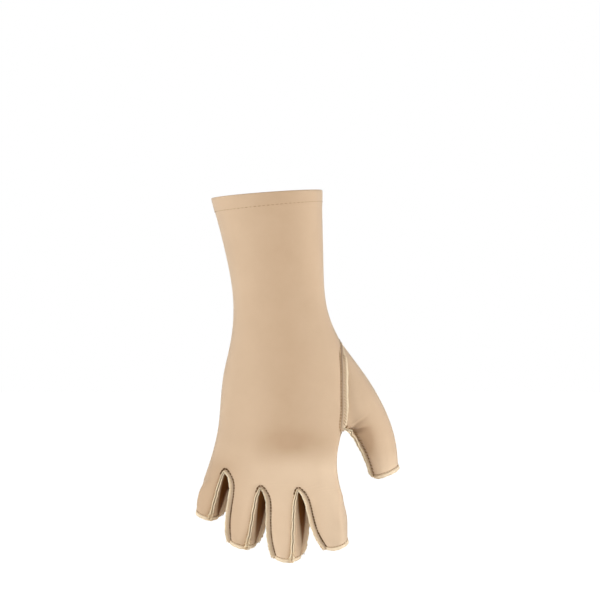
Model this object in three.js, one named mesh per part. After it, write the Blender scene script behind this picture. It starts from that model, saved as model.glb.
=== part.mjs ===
// A right-hand compression glove with open fingertips, in the shape it has on a hand.
// Millimetres, +Z up: the fingers point down, the back of the hand faces -Y and the thumb is at +X.
// The origin is the middle of the cuff's mouth, where the forearm goes in.

import * as THREE from "three";

// Driving dimensions
const WALL = 1.2; // stretch knit
const PIECE_GAP = 0.3; // clear space between neighbouring pieces
const PANEL_GAP = 0.6; // clear space between two panels under their seam
const CUFF_HEM_DEPTH = 10;
const CUFF_TILT = 0.073; // rise of the mouth per millimetre towards the thumb
const CUFF_TILT_REACH = 70; // depth below the mouth where the tilt has faded out
const FINGER_HEM_DEPTH = 3;
const HEM_WALL = 2; // folded knit
const HEM_SWELL = 0.4; // how far a hem stands out from the panel
const SEAM_FOOT = 0.7; // width of a seam's turned-out edges where they leave the skin
const SEAM_WIDTH = 2; // and at their free edges
const SEAM_HEIGHT = 1.6;
const SEAM_LIFT = 0.35; // clear space under them
const SEAM_END = 0.5; // how much of them is left where they run under a hem

// Sections of the forearm and hand, each at a depth "down" below the mouth.
// left and right: outline seen from the back of the hand; mid: depth of the section's middle line;
// back and palm: how far the wall bulges to either side of it; lean: fall of the middle line
// towards the thumb; square: 2 is an ellipse, more is boxier.
const HAND_SECTIONS = [
  { down: 0, left: -40.8, right: 39.7, mid: 0, back: 34, palm: 34, lean: -0.02, square: 2.0 },
  { down: 18, left: -36.5, right: 39.5, mid: 0, back: 31.5, palm: 31.5, lean: -0.04, square: 2.05 },
  { down: 36, left: -32.0, right: 40.1, mid: 0, back: 28.5, palm: 28.5, lean: -0.07, square: 2.1 },
  { down: 54, left: -28.1, right: 40.4, mid: 0, back: 25.5, palm: 25.5, lean: -0.1, square: 2.15 },
  { down: 70, left: -25.3, right: 40.9, mid: 0, back: 23.5, palm: 23, lean: -0.14, square: 2.2 },
  { down: 84, left: -24.7, right: 42.7, mid: 0, back: 22.5, palm: 22, lean: -0.18, square: 2.25 },
  { down: 97, left: -24.9, right: 47.4, mid: 0, back: 21.5, palm: 22, lean: -0.22, square: 2.3 },
  { down: 108, left: -27.2, right: 53.4, mid: -0.3, back: 20.5, palm: 22.5, lean: -0.25, square: 2.35 },
  { down: 122, left: -30.9, right: 56.2, mid: -0.8, back: 19.5, palm: 22.5, lean: -0.27, square: 2.4 },
  { down: 140, left: -33.7, right: 56.4, mid: -1.4, back: 18.5, palm: 21.5, lean: -0.29, square: 2.5 },
  { down: 158, left: -35.2, right: 56.6, mid: -2.2, back: 17.5, palm: 19.5, lean: -0.31, square: 2.6 },
  { down: 172, left: -36.6, right: 53.9, mid: -2.8, back: 16.8, palm: 17.5, lean: -0.33, square: 2.6 },
  { down: 184, left: -39.0, right: 48.6, mid: -4.0, back: 15.4, palm: 14.5, lean: -0.34, square: 3.0 },
  { down: 196, left: -43.2, right: 48.4, mid: -4.4, back: 13.6, palm: 12.4, lean: -0.36, square: 3.0 },
  { down: 208, left: -47.6, right: 52.6, mid: -4.0, back: 11.8, palm: 10.6, lean: -0.38, square: 3.0 },
  { down: 226, left: -53.0, right: 56.0, mid: -3.0, back: 10.2, palm: 9.5, lean: -0.38, square: 3.0 },
];

// Depths of the rows of the hand panel down to the crotch of the thumb, and where the thumb hole begins.
const HAND_ROWS = [22, 36, 52, 68, 83, 99, 116, 123, 130, 137, 145, 153, 160, 167];
const THUMB_HOLE_TOP = 116;
const THUMB_HOLE_ARCH = 10; // how far the hole's top edge arches upwards
const ROWS_TO_FINGERS = 3; // further rows, which ease into the line where the fingers part

// The line where the fingers part: its place across the hand (-1 to 1) and its depth, on back and palm.
const FINGER_EDGES = [
  { backAcross: -0.93, backDown: 203, palmAcross: -0.9, palmDown: 207 },
  { backAcross: -0.71, backDown: 198, palmAcross: -0.42, palmDown: 213 },
  { backAcross: -0.145, backDown: 209.5, palmAcross: 0.11, palmDown: 221 },
  { backAcross: 0.384, backDown: 210, palmAcross: 0.57, palmDown: 217 },
  { backAcross: 0.95, backDown: 212, palmAcross: 0.95, palmDown: 213 },
];

// Fingers: middle of the open end and its diameter; the finger's width and depth half way along.
const FINGERS = [
  { name: "little", endX: -43.8, endY: 18, endDown: 230.7, end: 16.8, width: 16.5, depth: 17 },
  { name: "ring", endX: -17.8, endY: 12, endDown: 250.4, end: 19.4, width: 21.5, depth: 20 },
  { name: "middle", endX: 14.6, endY: 3, endDown: 259.2, end: 19.2, width: 22, depth: 20.5 },
  { name: "index", endX: 49.0, endY: -6, endDown: 249.4, end: 17.8, width: 23.2, depth: 19 },
];

// How a finger stands: its roll towards the little finger, how far its back bows outwards,
// and how far its root is moved towards the thumb.
const FINGER_STANCE = {
  little: { roll: 34, bow: 1.5, root: -4 },
  ring: { roll: 33, bow: 2, root: 4 },
  middle: { roll: 33, bow: 2.5, root: 2.4 },
  index: { roll: 16, bow: 2, root: 1.5 },
};
const FINGER_ROWS = [0.03, 0.08, 0.16, 0.26, 0.38, 0.52, 0.68, 0.84, 1]; // shares of a finger's length
const FINGER_BLEND = 0.5; // share of the length in which the hand's outline becomes the finger's
const FINGER_TAPER = 0.55; // share of the length where it begins to narrow to its end
const FINGER_SQUARE = 6; // a finger is boxy half way along and round at its end
const CORNER_ANGLE = 45; // where the fourchette seams lie on a finger

// Thumb rings: a middle ring that the panel is drawn towards, and the open end.
const THUMB_RINGS = {
  middle: { x: 82.2, y: -5, down: 167, width: 32, depth: 36.5, tilt: 33, flex: 2 },
  end: { x: 84.9, y: -3, down: 198.3, width: 19.4, depth: 19.4, tilt: 22, flex: -10 },
};
const THUMB_ROWS = [0.1, 0.22, 0.34, 0.46, 0.58, 0.72, 0.86, 1]; // shares of the thumb's length
const THUMB_SEAM_ANGLES = { crotch: -172, topBack: -35, topPalm: 35, bottomPalm: 150 };

// Soft hollows on the back: three between the knuckles, and one under the pleat at the thumb's crotch.
const HOLLOWS = [
  { x: -15, down: 184, radius: 11, depth: 0.9 },
  { x: 5.4, down: 176, radius: 13, depth: 1.2 },
  { x: 30.6, down: 178, radius: 13, depth: 1.2 },
  { x: 62.5, down: 170, radius: 6.5, depth: 1.3 },
];

// How finely the walls are divided
const FACE_COLUMNS = 4; // across the back or palm of one finger
const SIDE_COLUMNS = 4; // across the side of a finger or of the hand
const HOLE_PALM_COLUMNS = 2; // how far the thumb hole reaches onto the palm
const FAIRING_PASSES = 10;

const KNIT = new THREE.MeshStandardMaterial({ color: 0xd6b998, roughness: 0.85, metalness: 0 });
const HEM_KNIT = new THREE.MeshStandardMaterial({ color: 0xdcc3a0, roughness: 0.85, metalness: 0 });
const TURNED_EDGE = new THREE.MeshStandardMaterial({ color: 0xe6d0a8, roughness: 0.9, metalness: 0 });

const { degToRad, lerp } = THREE.MathUtils;
const vec = (x, y, z) => new THREE.Vector3(x, y, z);
const range = (count) => Array.from({ length: count }, (_, i) => i);

// Hand surface: a smooth tube through the sections

const SECTION_COLUMNS = ["left", "right", "mid", "back", "palm", "lean", "square"];
const sectionCurve = new THREE.CubicInterpolant(
  HAND_SECTIONS.map((row) => row.down),
  HAND_SECTIONS.flatMap((row) => SECTION_COLUMNS.map((key) => row[key])),
  SECTION_COLUMNS.length,
);

function sectionAt(down) {
  const values = sectionCurve.evaluate(down);
  return Object.fromEntries(SECTION_COLUMNS.map((key, i) => [key, values[i]]));
}

const signedPower = (value, power) => Math.sign(value) * Math.abs(value) ** power;

// A point of the hand's wall at an angle: 0 is the thumb side, negative angles are the back.
function handPoint(down, angle) {
  const s = sectionAt(down);
  const halfWidth = (s.right - s.left) / 2;
  const bulge = angle < 0 ? s.back : s.palm;
  const offset = halfWidth * signedPower(Math.cos(angle), 2 / s.square);
  const x = (s.left + s.right) / 2 + offset;
  const y = s.mid + s.lean * offset + bulge * signedPower(Math.sin(angle), 2 / s.square);
  const tilt = CUFF_TILT * Math.max(0, 1 - down / CUFF_TILT_REACH) ** 2;
  return vec(x, y, -down + tilt * x);
}

// The angle of a place across the hand, which depends on how boxy the section is.
function angleAcross(across, down, side) {
  const { square } = sectionAt(down);
  return side * Math.acos(signedPower(across, square / 2));
}

// Columns run round the hand: the back from little finger to index, the thumb side,
// the palm from index to little finger, and the outer side.
// Each column knows its place on the line where the fingers part.
function handColumns() {
  const columns = [];
  const last = FINGER_EDGES.length - 1;
  const face = (side, across, down, edges) => {
    for (let e = 0; e < last; e++) {
      for (const k of range(FACE_COLUMNS)) {
        const share = k / FACE_COLUMNS;
        const [from, to] = [edges[e], edges[e + 1]];
        const [place, end] = [across, down].map((key) => lerp(from[key], to[key], share));
        columns.push({ side, across: place, end });
      }
    }
  };
  const flank = (from, to) => {
    for (const k of range(SIDE_COLUMNS)) columns.push({ flank: [from, to], share: k / SIDE_COLUMNS });
  };
  const [littleEdge, indexEdge] = [FINGER_EDGES[0], FINGER_EDGES[last]];
  const backOf = (e) => ({ side: -1, across: e.backAcross, end: e.backDown });
  const palmOf = (e) => ({ side: 1, across: e.palmAcross, end: e.palmDown });
  face(-1, "backAcross", "backDown", FINGER_EDGES);
  flank(backOf(indexEdge), palmOf(indexEdge));
  face(1, "palmAcross", "palmDown", [...FINGER_EDGES].reverse());
  flank(palmOf(littleEdge), backOf(littleEdge));
  return columns;
}

const FULL_TURN = 2 * Math.PI;

function columnEnd(column) {
  if (!column.flank) return column.end;
  return lerp(column.flank[0].end, column.flank[1].end, column.share);
}

function columnAngle(column, down) {
  if (!column.flank) return angleAcross(column.across, down, column.side);
  const [from, to] = column.flank.map((edge) => angleAcross(edge.across, down, edge.side));
  const angle = lerp(from, to < from ? to + FULL_TURN : to, column.share);
  return angle > Math.PI ? angle - FULL_TURN : angle;
}

const COLUMNS = handColumns();
const handVertex = (column, down) => handPoint(down, columnAngle(column, down));

// The whole outer skin as one net of four-sided faces, each marked with the panel that it belongs to.
// Points that lie in one place on two edges of a slit share a "twin", so that they share a normal.

const net = { points: [], faces: [], twin: [] };

function addPoint(point, twin = net.points.length) {
  net.points.push(point);
  net.twin.push(twin);
  return net.points.length - 1;
}

const addFace = (panel, ...corners) => net.faces.push({ panel, corners });

const FACE_TOTAL = FACE_COLUMNS * FINGERS.length;
const hole = {
  top: HAND_ROWS.indexOf(THUMB_HOLE_TOP) + 1,
  bottom: HAND_ROWS.length,
  back: FACE_TOTAL,
  palm: FACE_TOTAL + SIDE_COLUMNS + HOLE_PALM_COLUMNS,
};

// How far a column's rows are lifted above the thumb hole, so that its top edge is an arch.
function archLift(j, down) {
  const share = (j - hole.back) / (hole.palm - hole.back);
  if (share <= 0 || share >= 1 || down > THUMB_HOLE_TOP) return 0;
  const near = Math.max(0, 1 - (THUMB_HOLE_TOP - down) / (4 * THUMB_HOLE_ARCH));
  return THUMB_HOLE_ARCH * Math.sin(Math.PI * share) * near;
}

function addHand() {
  const crotch = HAND_ROWS.at(-1);
  const rowPoints = (depthOf) => COLUMNS.map((column, j) => addPoint(handVertex(column, depthOf(column, j))));
  const rows = [rowPoints(() => CUFF_HEM_DEPTH + PIECE_GAP)];
  for (const down of HAND_ROWS) rows.push(rowPoints((_, j) => down - archLift(j, down)));
  for (const k of range(ROWS_TO_FINGERS)) {
    rows.push(rowPoints((column) => lerp(crotch, columnEnd(column), (k + 1) / ROWS_TO_FINGERS)));
  }
  return rows;
}

const handRows = addHand();
const fingerLine = handRows.at(-1);

function coverHand() {
  const count = COLUMNS.length;
  for (const i of range(handRows.length - 1)) {
    for (const j of range(count)) {
      const inHole = i >= hole.top && i < hole.bottom && j >= hole.back && j < hole.palm;
      if (inHole) continue;
      const next = (j + 1) % count;
      addFace("hand_panel", handRows[i][j], handRows[i + 1][j], handRows[i + 1][next], handRows[i][next]);
    }
  }
}

// The web between two fingers: points from its end on the back to its end on the palm.
function webBetween(g) {
  const back = fingerLine[(g + 1) * FACE_COLUMNS];
  const palm = fingerLine[FACE_TOTAL + SIDE_COLUMNS + FACE_TOTAL - (g + 1) * FACE_COLUMNS];
  const inner = range(SIDE_COLUMNS - 1).map((k) => {
    const share = (k + 1) / SIDE_COLUMNS;
    return addPoint(net.points[back].clone().lerp(net.points[palm], share));
  });
  return [back, ...inner, palm];
}

// The ring of points that a finger starts from: back, thumb side, palm, little-finger side.
function fingerBase(f, webs) {
  const count = COLUMNS.length;
  const stretch = (start, length) => range(length + 1).map((k) => fingerLine[(start + k) % count]);
  const palmStart = FACE_TOTAL + SIDE_COLUMNS;
  const back = stretch(f * FACE_COLUMNS, FACE_COLUMNS);
  const palm = stretch(palmStart + (FINGERS.length - 1 - f) * FACE_COLUMNS, FACE_COLUMNS);
  const thumbSide = webs[f] ?? stretch(FACE_TOTAL, SIDE_COLUMNS);
  const outerSide = f > 0 ? [...webs[f - 1]].reverse() : stretch(palmStart + FACE_TOTAL, SIDE_COLUMNS);
  return [back, thumbSide, palm, outerSide].flatMap((side) => side.slice(0, -1));
}

// Angles of the columns round a tube, given at its corners and divided evenly between them.
function cornerAngles(corners, counts) {
  const between = (side, share) => degToRad(lerp(corners[side], corners[side + 1], share));
  return counts.flatMap((count, side) => range(count).map((k) => between(side, k / count)));
}

// Angles of a finger's columns, with the seams at the four corners.
function fingerAngles() {
  const corners = [180 - CORNER_ANGLE, CORNER_ANGLE, -CORNER_ANGLE, CORNER_ANGLE - 180, -180 - CORNER_ANGLE];
  const counts = [FACE_COLUMNS, SIDE_COLUMNS, FACE_COLUMNS, SIDE_COLUMNS];
  return cornerAngles(corners, counts);
}

// Directions across a finger: towards its thumb side and out of its back, square to its run.
function fingerAxes(roll, along) {
  const turn = degToRad(roll);
  const out = vec(-Math.sin(turn), -Math.cos(turn), 0);
  const across = vec(Math.cos(turn), -Math.sin(turn), 0);
  across.addScaledVector(along, -across.dot(along)).normalize();
  out.addScaledVector(along, -out.dot(along)).addScaledVector(across, -out.dot(across)).normalize();
  return { across, out };
}

function ringPoint(centre, { across, out }, halfWidth, halfDepth, square, angle) {
  return centre
    .clone()
    .addScaledVector(across, halfWidth * signedPower(Math.cos(angle), 2 / square))
    .addScaledVector(out, halfDepth * signedPower(Math.sin(angle), 2 / square));
}

// How far a column has come from the hand's outline to the finger's: soon at the seams, slowly elsewhere.
function fingerBlend(f, m, share) {
  const reach = Math.min(1, share / FINGER_BLEND);
  const count = 2 * (FACE_COLUMNS + SIDE_COLUMNS);
  const thumbSide = FACE_COLUMNS;
  const outerSide = 2 * FACE_COLUMNS + SIDE_COLUMNS;
  const sides = [f < FINGERS.length - 1 && thumbSide, f > 0 && outerSide].filter(Boolean);
  const columnsAway = sides.map((side) => {
    const past = (m - side + count) % count;
    return past <= SIDE_COLUMNS ? 0 : Math.min(past - SIDE_COLUMNS, count - past);
  });
  const nearSeam = Math.max(0, 1 - Math.min(...columnsAway) / (FACE_COLUMNS / 2));
  return lerp(THREE.MathUtils.smoothstep(reach, 0, 1), 1 - (1 - reach) ** 5, nearSeam);
}

function addFinger(finger, f, webs) {
  const base = fingerBase(f, webs);
  const angles = fingerAngles();
  const end = vec(finger.endX, finger.endY, -finger.endDown);
  const backMiddle = net.points[base[FACE_COLUMNS / 2]];
  const stance = FINGER_STANCE[finger.name];
  const { out, across } = fingerAxes(stance.roll, vec(0, 0, -1));
  const start = backMiddle.clone();
  start.addScaledVector(out, -finger.depth / 2).addScaledVector(across, stance.root);
  const bend = start.clone().lerp(end, 0.5).addScaledVector(out, stance.bow);
  const run = new THREE.QuadraticBezierCurve3(start, bend, end);
  const firstHeading = run.getTangent(0);
  const length = run.getLength();
  const columns = base.map((id, m) => {
    const origin = net.points[id].clone();
    const place = origin.clone().sub(start).dot(firstHeading) / length;
    return { origin, place, fromRun: origin.clone().sub(run.getPoint(place)), angle: angles[m] };
  });
  const rows = [base];
  for (const share of FINGER_ROWS) {
    rows.push(
      columns.map((column, m) => {
        const place = lerp(column.place, 1, share);
        const centre = run.getPoint(place);
        const axes = fingerAxes(stance.roll, run.getTangent(Math.max(0, place)));
        const taper = Math.max(0, (place - FINGER_TAPER) / (1 - FINGER_TAPER)) ** 1.5;
        const halfWidth = lerp(finger.width, finger.end, taper) / 2;
        const halfDepth = lerp(finger.depth, finger.end, taper) / 2;
        const square = lerp(FINGER_SQUARE, 2, taper);
        const onFinger = ringPoint(centre, axes, halfWidth, halfDepth, square, column.angle);
        return addPoint(centre.add(column.fromRun).lerp(onFinger, fingerBlend(f, m, share)));
      }),
    );
  }
  return { rows, along: run.getTangent(1) };
}

const fourchetteName = (g) => `fourchette_${FINGERS[g].name}_${FINGERS[g + 1].name}`;

function fingerPanel(f, m) {
  const onThumbSide = m >= FACE_COLUMNS && m < FACE_COLUMNS + SIDE_COLUMNS;
  const onOuterSide = m >= 2 * FACE_COLUMNS + SIDE_COLUMNS;
  if (onThumbSide && f < FINGERS.length - 1) return fourchetteName(f);
  if (onOuterSide && f > 0) return fourchetteName(f - 1);
  return "hand_panel";
}

function coverFinger(f, { rows }) {
  const count = rows[0].length;
  for (const i of range(rows.length - 1)) {
    for (const m of range(count)) {
      const next = (m + 1) % count;
      addFace(fingerPanel(f, m), rows[i][m], rows[i + 1][m], rows[i + 1][next], rows[i][next]);
    }
  }
}

// The edge of the thumb hole: from the crotch up the back, over the top, down the palm and home.
function thumbHoleLoop() {
  const { top, bottom, back, palm } = hole;
  const at = (i, j) => handRows[i][j];
  const up = range(bottom - top).map((k) => at(bottom - k, back));
  const over = range(palm - back).map((k) => at(top, back + k));
  const down = range(bottom - top).map((k) => at(top + k, palm));
  const home = range(palm - back).map((k) => at(bottom, palm - k));
  return [...up, ...over, ...down, ...home];
}

function thumbAngles() {
  const { crotch, topBack, topPalm, bottomPalm } = THUMB_SEAM_ANGLES;
  const corners = [crotch, topBack, topPalm, bottomPalm, crotch + 360];
  const [rise, reach] = [hole.bottom - hole.top, hole.palm - hole.back];
  const counts = [rise, reach, rise, reach];
  return cornerAngles(corners, counts);
}

function thumbRing(ring, angles) {
  const turn = new THREE.Euler(degToRad(-ring.flex), degToRad(-ring.tilt), 0);
  const axes = { across: vec(1, 0, 0).applyEuler(turn), out: vec(0, 1, 0).applyEuler(turn) };
  const centre = vec(ring.x, ring.y, -ring.down);
  const points = angles.map((angle) => ringPoint(centre, axes, ring.width / 2, ring.depth / 2, 2, angle));
  return { points, along: axes.out.clone().cross(axes.across) };
}

// Each thread of the thumb panel is a curve from the hole's edge to the open end,
// drawn towards the middle ring.
function addThumb() {
  const loop = thumbHoleLoop();
  const angles = thumbAngles();
  const middle = thumbRing(THUMB_RINGS.middle, angles);
  const end = thumbRing(THUMB_RINGS.end, angles);
  const rows = [[...loop, addPoint(net.points[loop[0]].clone(), loop[0])]];
  const threads = loop.map(
    (id, m) => new THREE.QuadraticBezierCurve3(net.points[id], middle.points[m], end.points[m]),
  );
  for (const share of THUMB_ROWS) {
    const ring = threads.map((thread) => addPoint(thread.getPoint(share)));
    rows.push([...ring, addPoint(net.points[ring[0]].clone(), ring[0])]);
  }
  return { rows, along: end.along };
}

function coverThumb({ rows }) {
  for (const i of range(rows.length - 1)) {
    for (const m of range(rows[0].length - 1)) {
      addFace("thumb_panel", rows[i][m], rows[i + 1][m], rows[i + 1][m + 1], rows[i][m + 1]);
    }
  }
}

coverHand();
const webs = range(FINGERS.length - 1).map(webBetween);
const fingers = FINGERS.map((finger, f) => addFinger(finger, f, webs));
fingers.forEach((finger, f) => coverFinger(f, finger));
const thumb = addThumb();
coverThumb(thumb);

// Fairing: the net is relaxed where the panels meet, in pairs of a smoothing and a swelling pass,
// which round the kinks without shrinking the tubes. Open ends and finger seams stay where they are.

function fairNet(passes) {
  const SMOOTH = 0.5;
  const SWELL = -0.52;
  const neighbours = net.points.map(() => new Set());
  for (const { corners } of net.faces) {
    corners.forEach((id, k) => {
      const [a, b] = [net.twin[id], net.twin[corners[(k + 1) % corners.length]]];
      neighbours[a].add(b);
      neighbours[b].add(a);
    });
  }
  const openEnds = [handRows[0], ...fingers.map((f) => f.rows.at(-1)), thumb.rows.at(-1)];
  const seamColumns = [0, FACE_COLUMNS, FACE_COLUMNS + SIDE_COLUMNS, 2 * FACE_COLUMNS + SIDE_COLUMNS];
  const fingerSeams = fingers.map(({ rows }) => rows.flatMap((row) => seamColumns.map((m) => row[m])));
  const thumbSeam = thumb.rows[0].slice(0, hole.bottom - hole.top + 1);
  const pinned = new Set([...openEnds, ...fingerSeams, thumbSeam].flat());
  for (const pass of range(2 * passes)) {
    const step = pass % 2 ? SWELL : SMOOTH;
    const moved = net.points.map((point, id) => {
      if (pinned.has(id) || !neighbours[id].size) return point.clone();
      const mean = vec(0, 0, 0);
      neighbours[id].forEach((other) => mean.add(net.points[other]));
      return point.clone().lerp(mean.divideScalar(neighbours[id].size), step);
    });
    moved.forEach((point, id) => net.points[id].copy(moved[net.twin[id]]));
  }
}

fairNet(FAIRING_PASSES);

function netNormals() {
  const normals = net.points.map(() => vec(0, 0, 0));
  for (const { corners } of net.faces) {
    const [a, b, c, d] = corners.map((id) => net.points[id]);
    const normal = c.clone().sub(a).cross(d.clone().sub(b)).normalize();
    corners.forEach((id, k) => {
      const here = net.points[id];
      const before = net.points[corners[(k + 3) % 4]].clone().sub(here);
      const after = net.points[corners[(k + 1) % 4]].clone().sub(here);
      normals[net.twin[id]].addScaledVector(normal, before.angleTo(after));
    });
  }
  return normals.map((_, id) => normals[net.twin[id]].clone().normalize());
}

function pressHollows() {
  const outward = netNormals();
  net.points.forEach((point, id) => {
    if (outward[id].y > 0) return;
    for (const { x, down, radius, depth } of HOLLOWS) {
      const reach = Math.hypot(point.x - x, point.z + down) / radius;
      if (reach < 1) point.addScaledVector(outward[id], -depth * (1 - reach ** 2) ** 2);
    }
  });
}

pressHollows();
const normals = netNormals();

// Solids

function meshOf(name, material, points, polygons) {
  const index = polygons.flatMap((p) => range(p.length - 2).flatMap((k) => [p[0], p[k + 1], p[k + 2]]));
  const geometry = new THREE.BufferGeometry().setFromPoints(points);
  geometry.setIndex(index);
  geometry.computeVertexNormals();
  const mesh = new THREE.Mesh(geometry, material);
  mesh.name = name;
  return mesh;
}

// A panel: its faces of the net with a wall behind them, drawn back from its edges by half the gap.
function panelMesh(name, material) {
  const faces = net.faces.filter((face) => face.panel === name).map((face) => face.corners);
  const ids = [...new Set(faces.flat())];
  const local = new Map(ids.map((id, k) => [id, k]));
  const edges = new Map();
  for (const corners of faces) {
    corners.forEach((a, k) => {
      const b = corners[(k + 1) % corners.length];
      const back = `${b},${a}`;
      if (edges.has(back)) edges.delete(back);
      else edges.set(`${a},${b}`, [a, b]);
    });
  }
  const inward = new Map();
  for (const [a, b] of edges.values()) {
    const along = net.points[b].clone().sub(net.points[a]);
    for (const id of [a, b]) {
      const into = normals[id].clone().cross(along).normalize();
      inward.set(id, (inward.get(id) ?? vec(0, 0, 0)).add(into));
    }
  }
  const outer = ids.map((id) => {
    const point = net.points[id].clone();
    const into = inward.get(id);
    return into ? point.addScaledVector(into.normalize(), PANEL_GAP / 2) : point;
  });
  const inner = outer.map((point, k) => point.clone().addScaledVector(normals[ids[k]], -WALL));
  const count = ids.length;
  const polygons = faces.map((corners) => corners.map((id) => local.get(id)));
  polygons.push(...faces.map((corners) => corners.map((id) => count + local.get(id)).reverse()));
  for (const [a, b] of edges.values()) {
    const [p, q] = [local.get(a), local.get(b)];
    polygons.push([q, p, count + p, count + q]);
  }
  return meshOf(name, material, [...outer, ...inner], polygons);
}

// A tube of four-cornered sections. A closed loop joins its last section to its first.
function tubeMesh(name, material, sections, closed) {
  const sides = sections[0].length;
  const polygons = [];
  const steps = closed ? sections.length : sections.length - 1;
  for (const i of range(steps)) {
    const next = (i + 1) % sections.length;
    for (const k of range(sides)) {
      const k2 = (k + 1) % sides;
      polygons.push([i * sides + k, next * sides + k, next * sides + k2, i * sides + k2]);
    }
  }
  if (!closed) {
    const last = (sections.length - 1) * sides;
    polygons.push(range(sides), range(sides).map((k) => last + k).reverse());
  }
  return meshOf(name, material, sections.flat(), polygons);
}

// A seam's turned-out edges: a low ridge that stands on the skin along a row of its points.
function seamMesh(name, path, closed = false) {
  const count = path.length;
  const at = (k) => net.points[path[closed ? (k + count) % count : Math.min(Math.max(k, 0), count - 1)]];
  const sections = path.map((id, k) => {
    const along = at(k + 1).clone().sub(at(k - 1)).normalize();
    const side = along.clone().cross(normals[id]).normalize();
    const corner = (across, up) =>
      at(k).clone().addScaledVector(side, across / 2).addScaledVector(normals[id], up);
    const isEnd = !closed && (k === 0 || k === count - 1);
    const full = isEnd ? SEAM_END : 1;
    const foot = (edge) => corner(edge * SEAM_FOOT * full, SEAM_LIFT);
    const free = (edge) => corner(edge * SEAM_WIDTH * full, SEAM_LIFT + SEAM_HEIGHT * full);
    return [foot(-1), foot(1), free(1), free(-1)];
  });
  return tubeMesh(name, TURNED_EDGE, sections, closed);
}

// A hem at an open end: a band that carries on from the end of a tube.
function hemMesh(name, ring, along) {
  const sections = ring.map((id) => {
    const corner = (out, on) =>
      net.points[id].clone().addScaledVector(normals[id], out).addScaledVector(along, on);
    const [near, far] = [PIECE_GAP, PIECE_GAP + FINGER_HEM_DEPTH];
    const inside = HEM_SWELL - HEM_WALL;
    return [corner(inside, near), corner(inside, far), corner(HEM_SWELL, far), corner(HEM_SWELL, near)];
  });
  return tubeMesh(name, HEM_KNIT, sections, true);
}

// The cuff's hem: a deeper band of folded knit round the mouth.
function cuffHemMesh() {
  const sections = COLUMNS.map((column, j) => {
    const out = normals[handRows[0][j]].clone().setZ(0).normalize();
    const [mouth, edge] = [handVertex(column, 0), handVertex(column, CUFF_HEM_DEPTH)];
    const corner = (point, offset) => point.clone().addScaledVector(out, offset);
    const inside = HEM_SWELL - HEM_WALL;
    return [corner(mouth, inside), corner(edge, inside), corner(edge, HEM_SWELL), corner(mouth, HEM_SWELL)];
  });
  return tubeMesh("cuff_hem", HEM_KNIT, sections, true);
}

// Along one finger to the web and down its neighbour: the two seams of a fourchette.
function fourchetteSeams(g) {
  const [left, right] = [fingers[g].rows, fingers[g + 1].rows];
  const names = `${FINGERS[g].name}_${FINGERS[g + 1].name}`;
  const course = (leftColumn, rightColumn) => [
    ...left.map((row) => row[leftColumn]).reverse(),
    ...right.slice(1).map((row) => row[rightColumn]),
  ];
  const [backOut, palmOut] = [FACE_COLUMNS, FACE_COLUMNS + SIDE_COLUMNS];
  const [backIn, palmIn] = [0, 2 * FACE_COLUMNS + SIDE_COLUMNS];
  return [
    seamMesh(`seam_back_${names}`, course(backOut, backIn)),
    seamMesh(`seam_palm_${names}`, course(palmOut, palmIn)),
  ];
}

const glove = new THREE.Group();
glove.add(panelMesh("hand_panel", KNIT), panelMesh("thumb_panel", KNIT));
for (const g of range(FINGERS.length - 1)) {
  glove.add(panelMesh(fourchetteName(g), KNIT), ...fourchetteSeams(g));
}
glove.add(seamMesh("seam_thumb_base", thumb.rows[0].slice(0, -1), true));
glove.add(seamMesh("seam_thumb_inner", thumb.rows.slice(2).map((row) => row[0])));
FINGERS.forEach(({ name }, f) => {
  const { rows, along } = fingers[f];
  glove.add(hemMesh(`hem_${name}`, rows.at(-1), along));
});
glove.add(hemMesh("hem_thumb", thumb.rows.at(-1).slice(0, -1), thumb.along));
glove.add(cuffHemMesh());

export default glove;
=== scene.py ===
# %% [markdown]
# # A compression glove with open fingertips
#
# The object is a beige stretch-knit glove for a right hand, cut from a few panels and sewn with the
# seams turned to the outside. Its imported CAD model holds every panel, seam and hem as a thin solid.
# This lesson keeps that frame and dresses it: smooth cloth panels, seams with two raw lips, rolled
# hems and rows of thread. Everything is in metres, with the fingers pointing down and the glove's
# back towards -Y.

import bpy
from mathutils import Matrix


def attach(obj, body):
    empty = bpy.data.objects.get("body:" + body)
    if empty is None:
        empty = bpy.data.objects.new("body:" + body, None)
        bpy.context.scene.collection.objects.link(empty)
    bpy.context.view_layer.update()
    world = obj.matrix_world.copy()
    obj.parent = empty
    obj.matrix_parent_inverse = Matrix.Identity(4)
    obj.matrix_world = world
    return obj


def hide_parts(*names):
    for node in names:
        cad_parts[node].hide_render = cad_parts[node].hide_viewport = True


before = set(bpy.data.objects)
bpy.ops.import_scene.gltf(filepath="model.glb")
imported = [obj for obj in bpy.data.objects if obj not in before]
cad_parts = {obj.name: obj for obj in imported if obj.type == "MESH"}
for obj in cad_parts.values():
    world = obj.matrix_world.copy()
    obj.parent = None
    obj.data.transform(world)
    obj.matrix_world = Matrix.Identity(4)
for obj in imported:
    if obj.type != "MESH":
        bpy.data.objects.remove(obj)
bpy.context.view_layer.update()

# %% Modules and units
import math
from functools import partial

import bpy
import numpy as np
from mathutils import Matrix, Vector
from mathutils.kdtree import KDTree

MM = 0.001
scene = bpy.context.scene
print("Blender", bpy.app.version_string)

# %% [markdown]
# ## Camera
#
# The photograph looks straight at the glove's back from far away. The glove's wrist sets the scale:
# one pixel is 0.72 mm, so the square frame is 432 mm wide. The view could be nudged until it fits.
# Here the lens is worked out from the frame's width at 1.6 m, which leaves hardly any perspective.

# %% Camera
FRAME_WIDTH = 0.432
CAMERA_DISTANCE = 1.6
FRAME_CENTRE = Vector((0.0234, 0, -0.0763))


def aim(thing, place, target):
    """Puts a camera or light at a place and turns it to a target."""
    thing.location = place
    thing.rotation_euler = (Vector(target) - Vector(place)).to_track_quat("-Z", "Y").to_euler()
    scene.collection.objects.link(thing)


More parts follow.
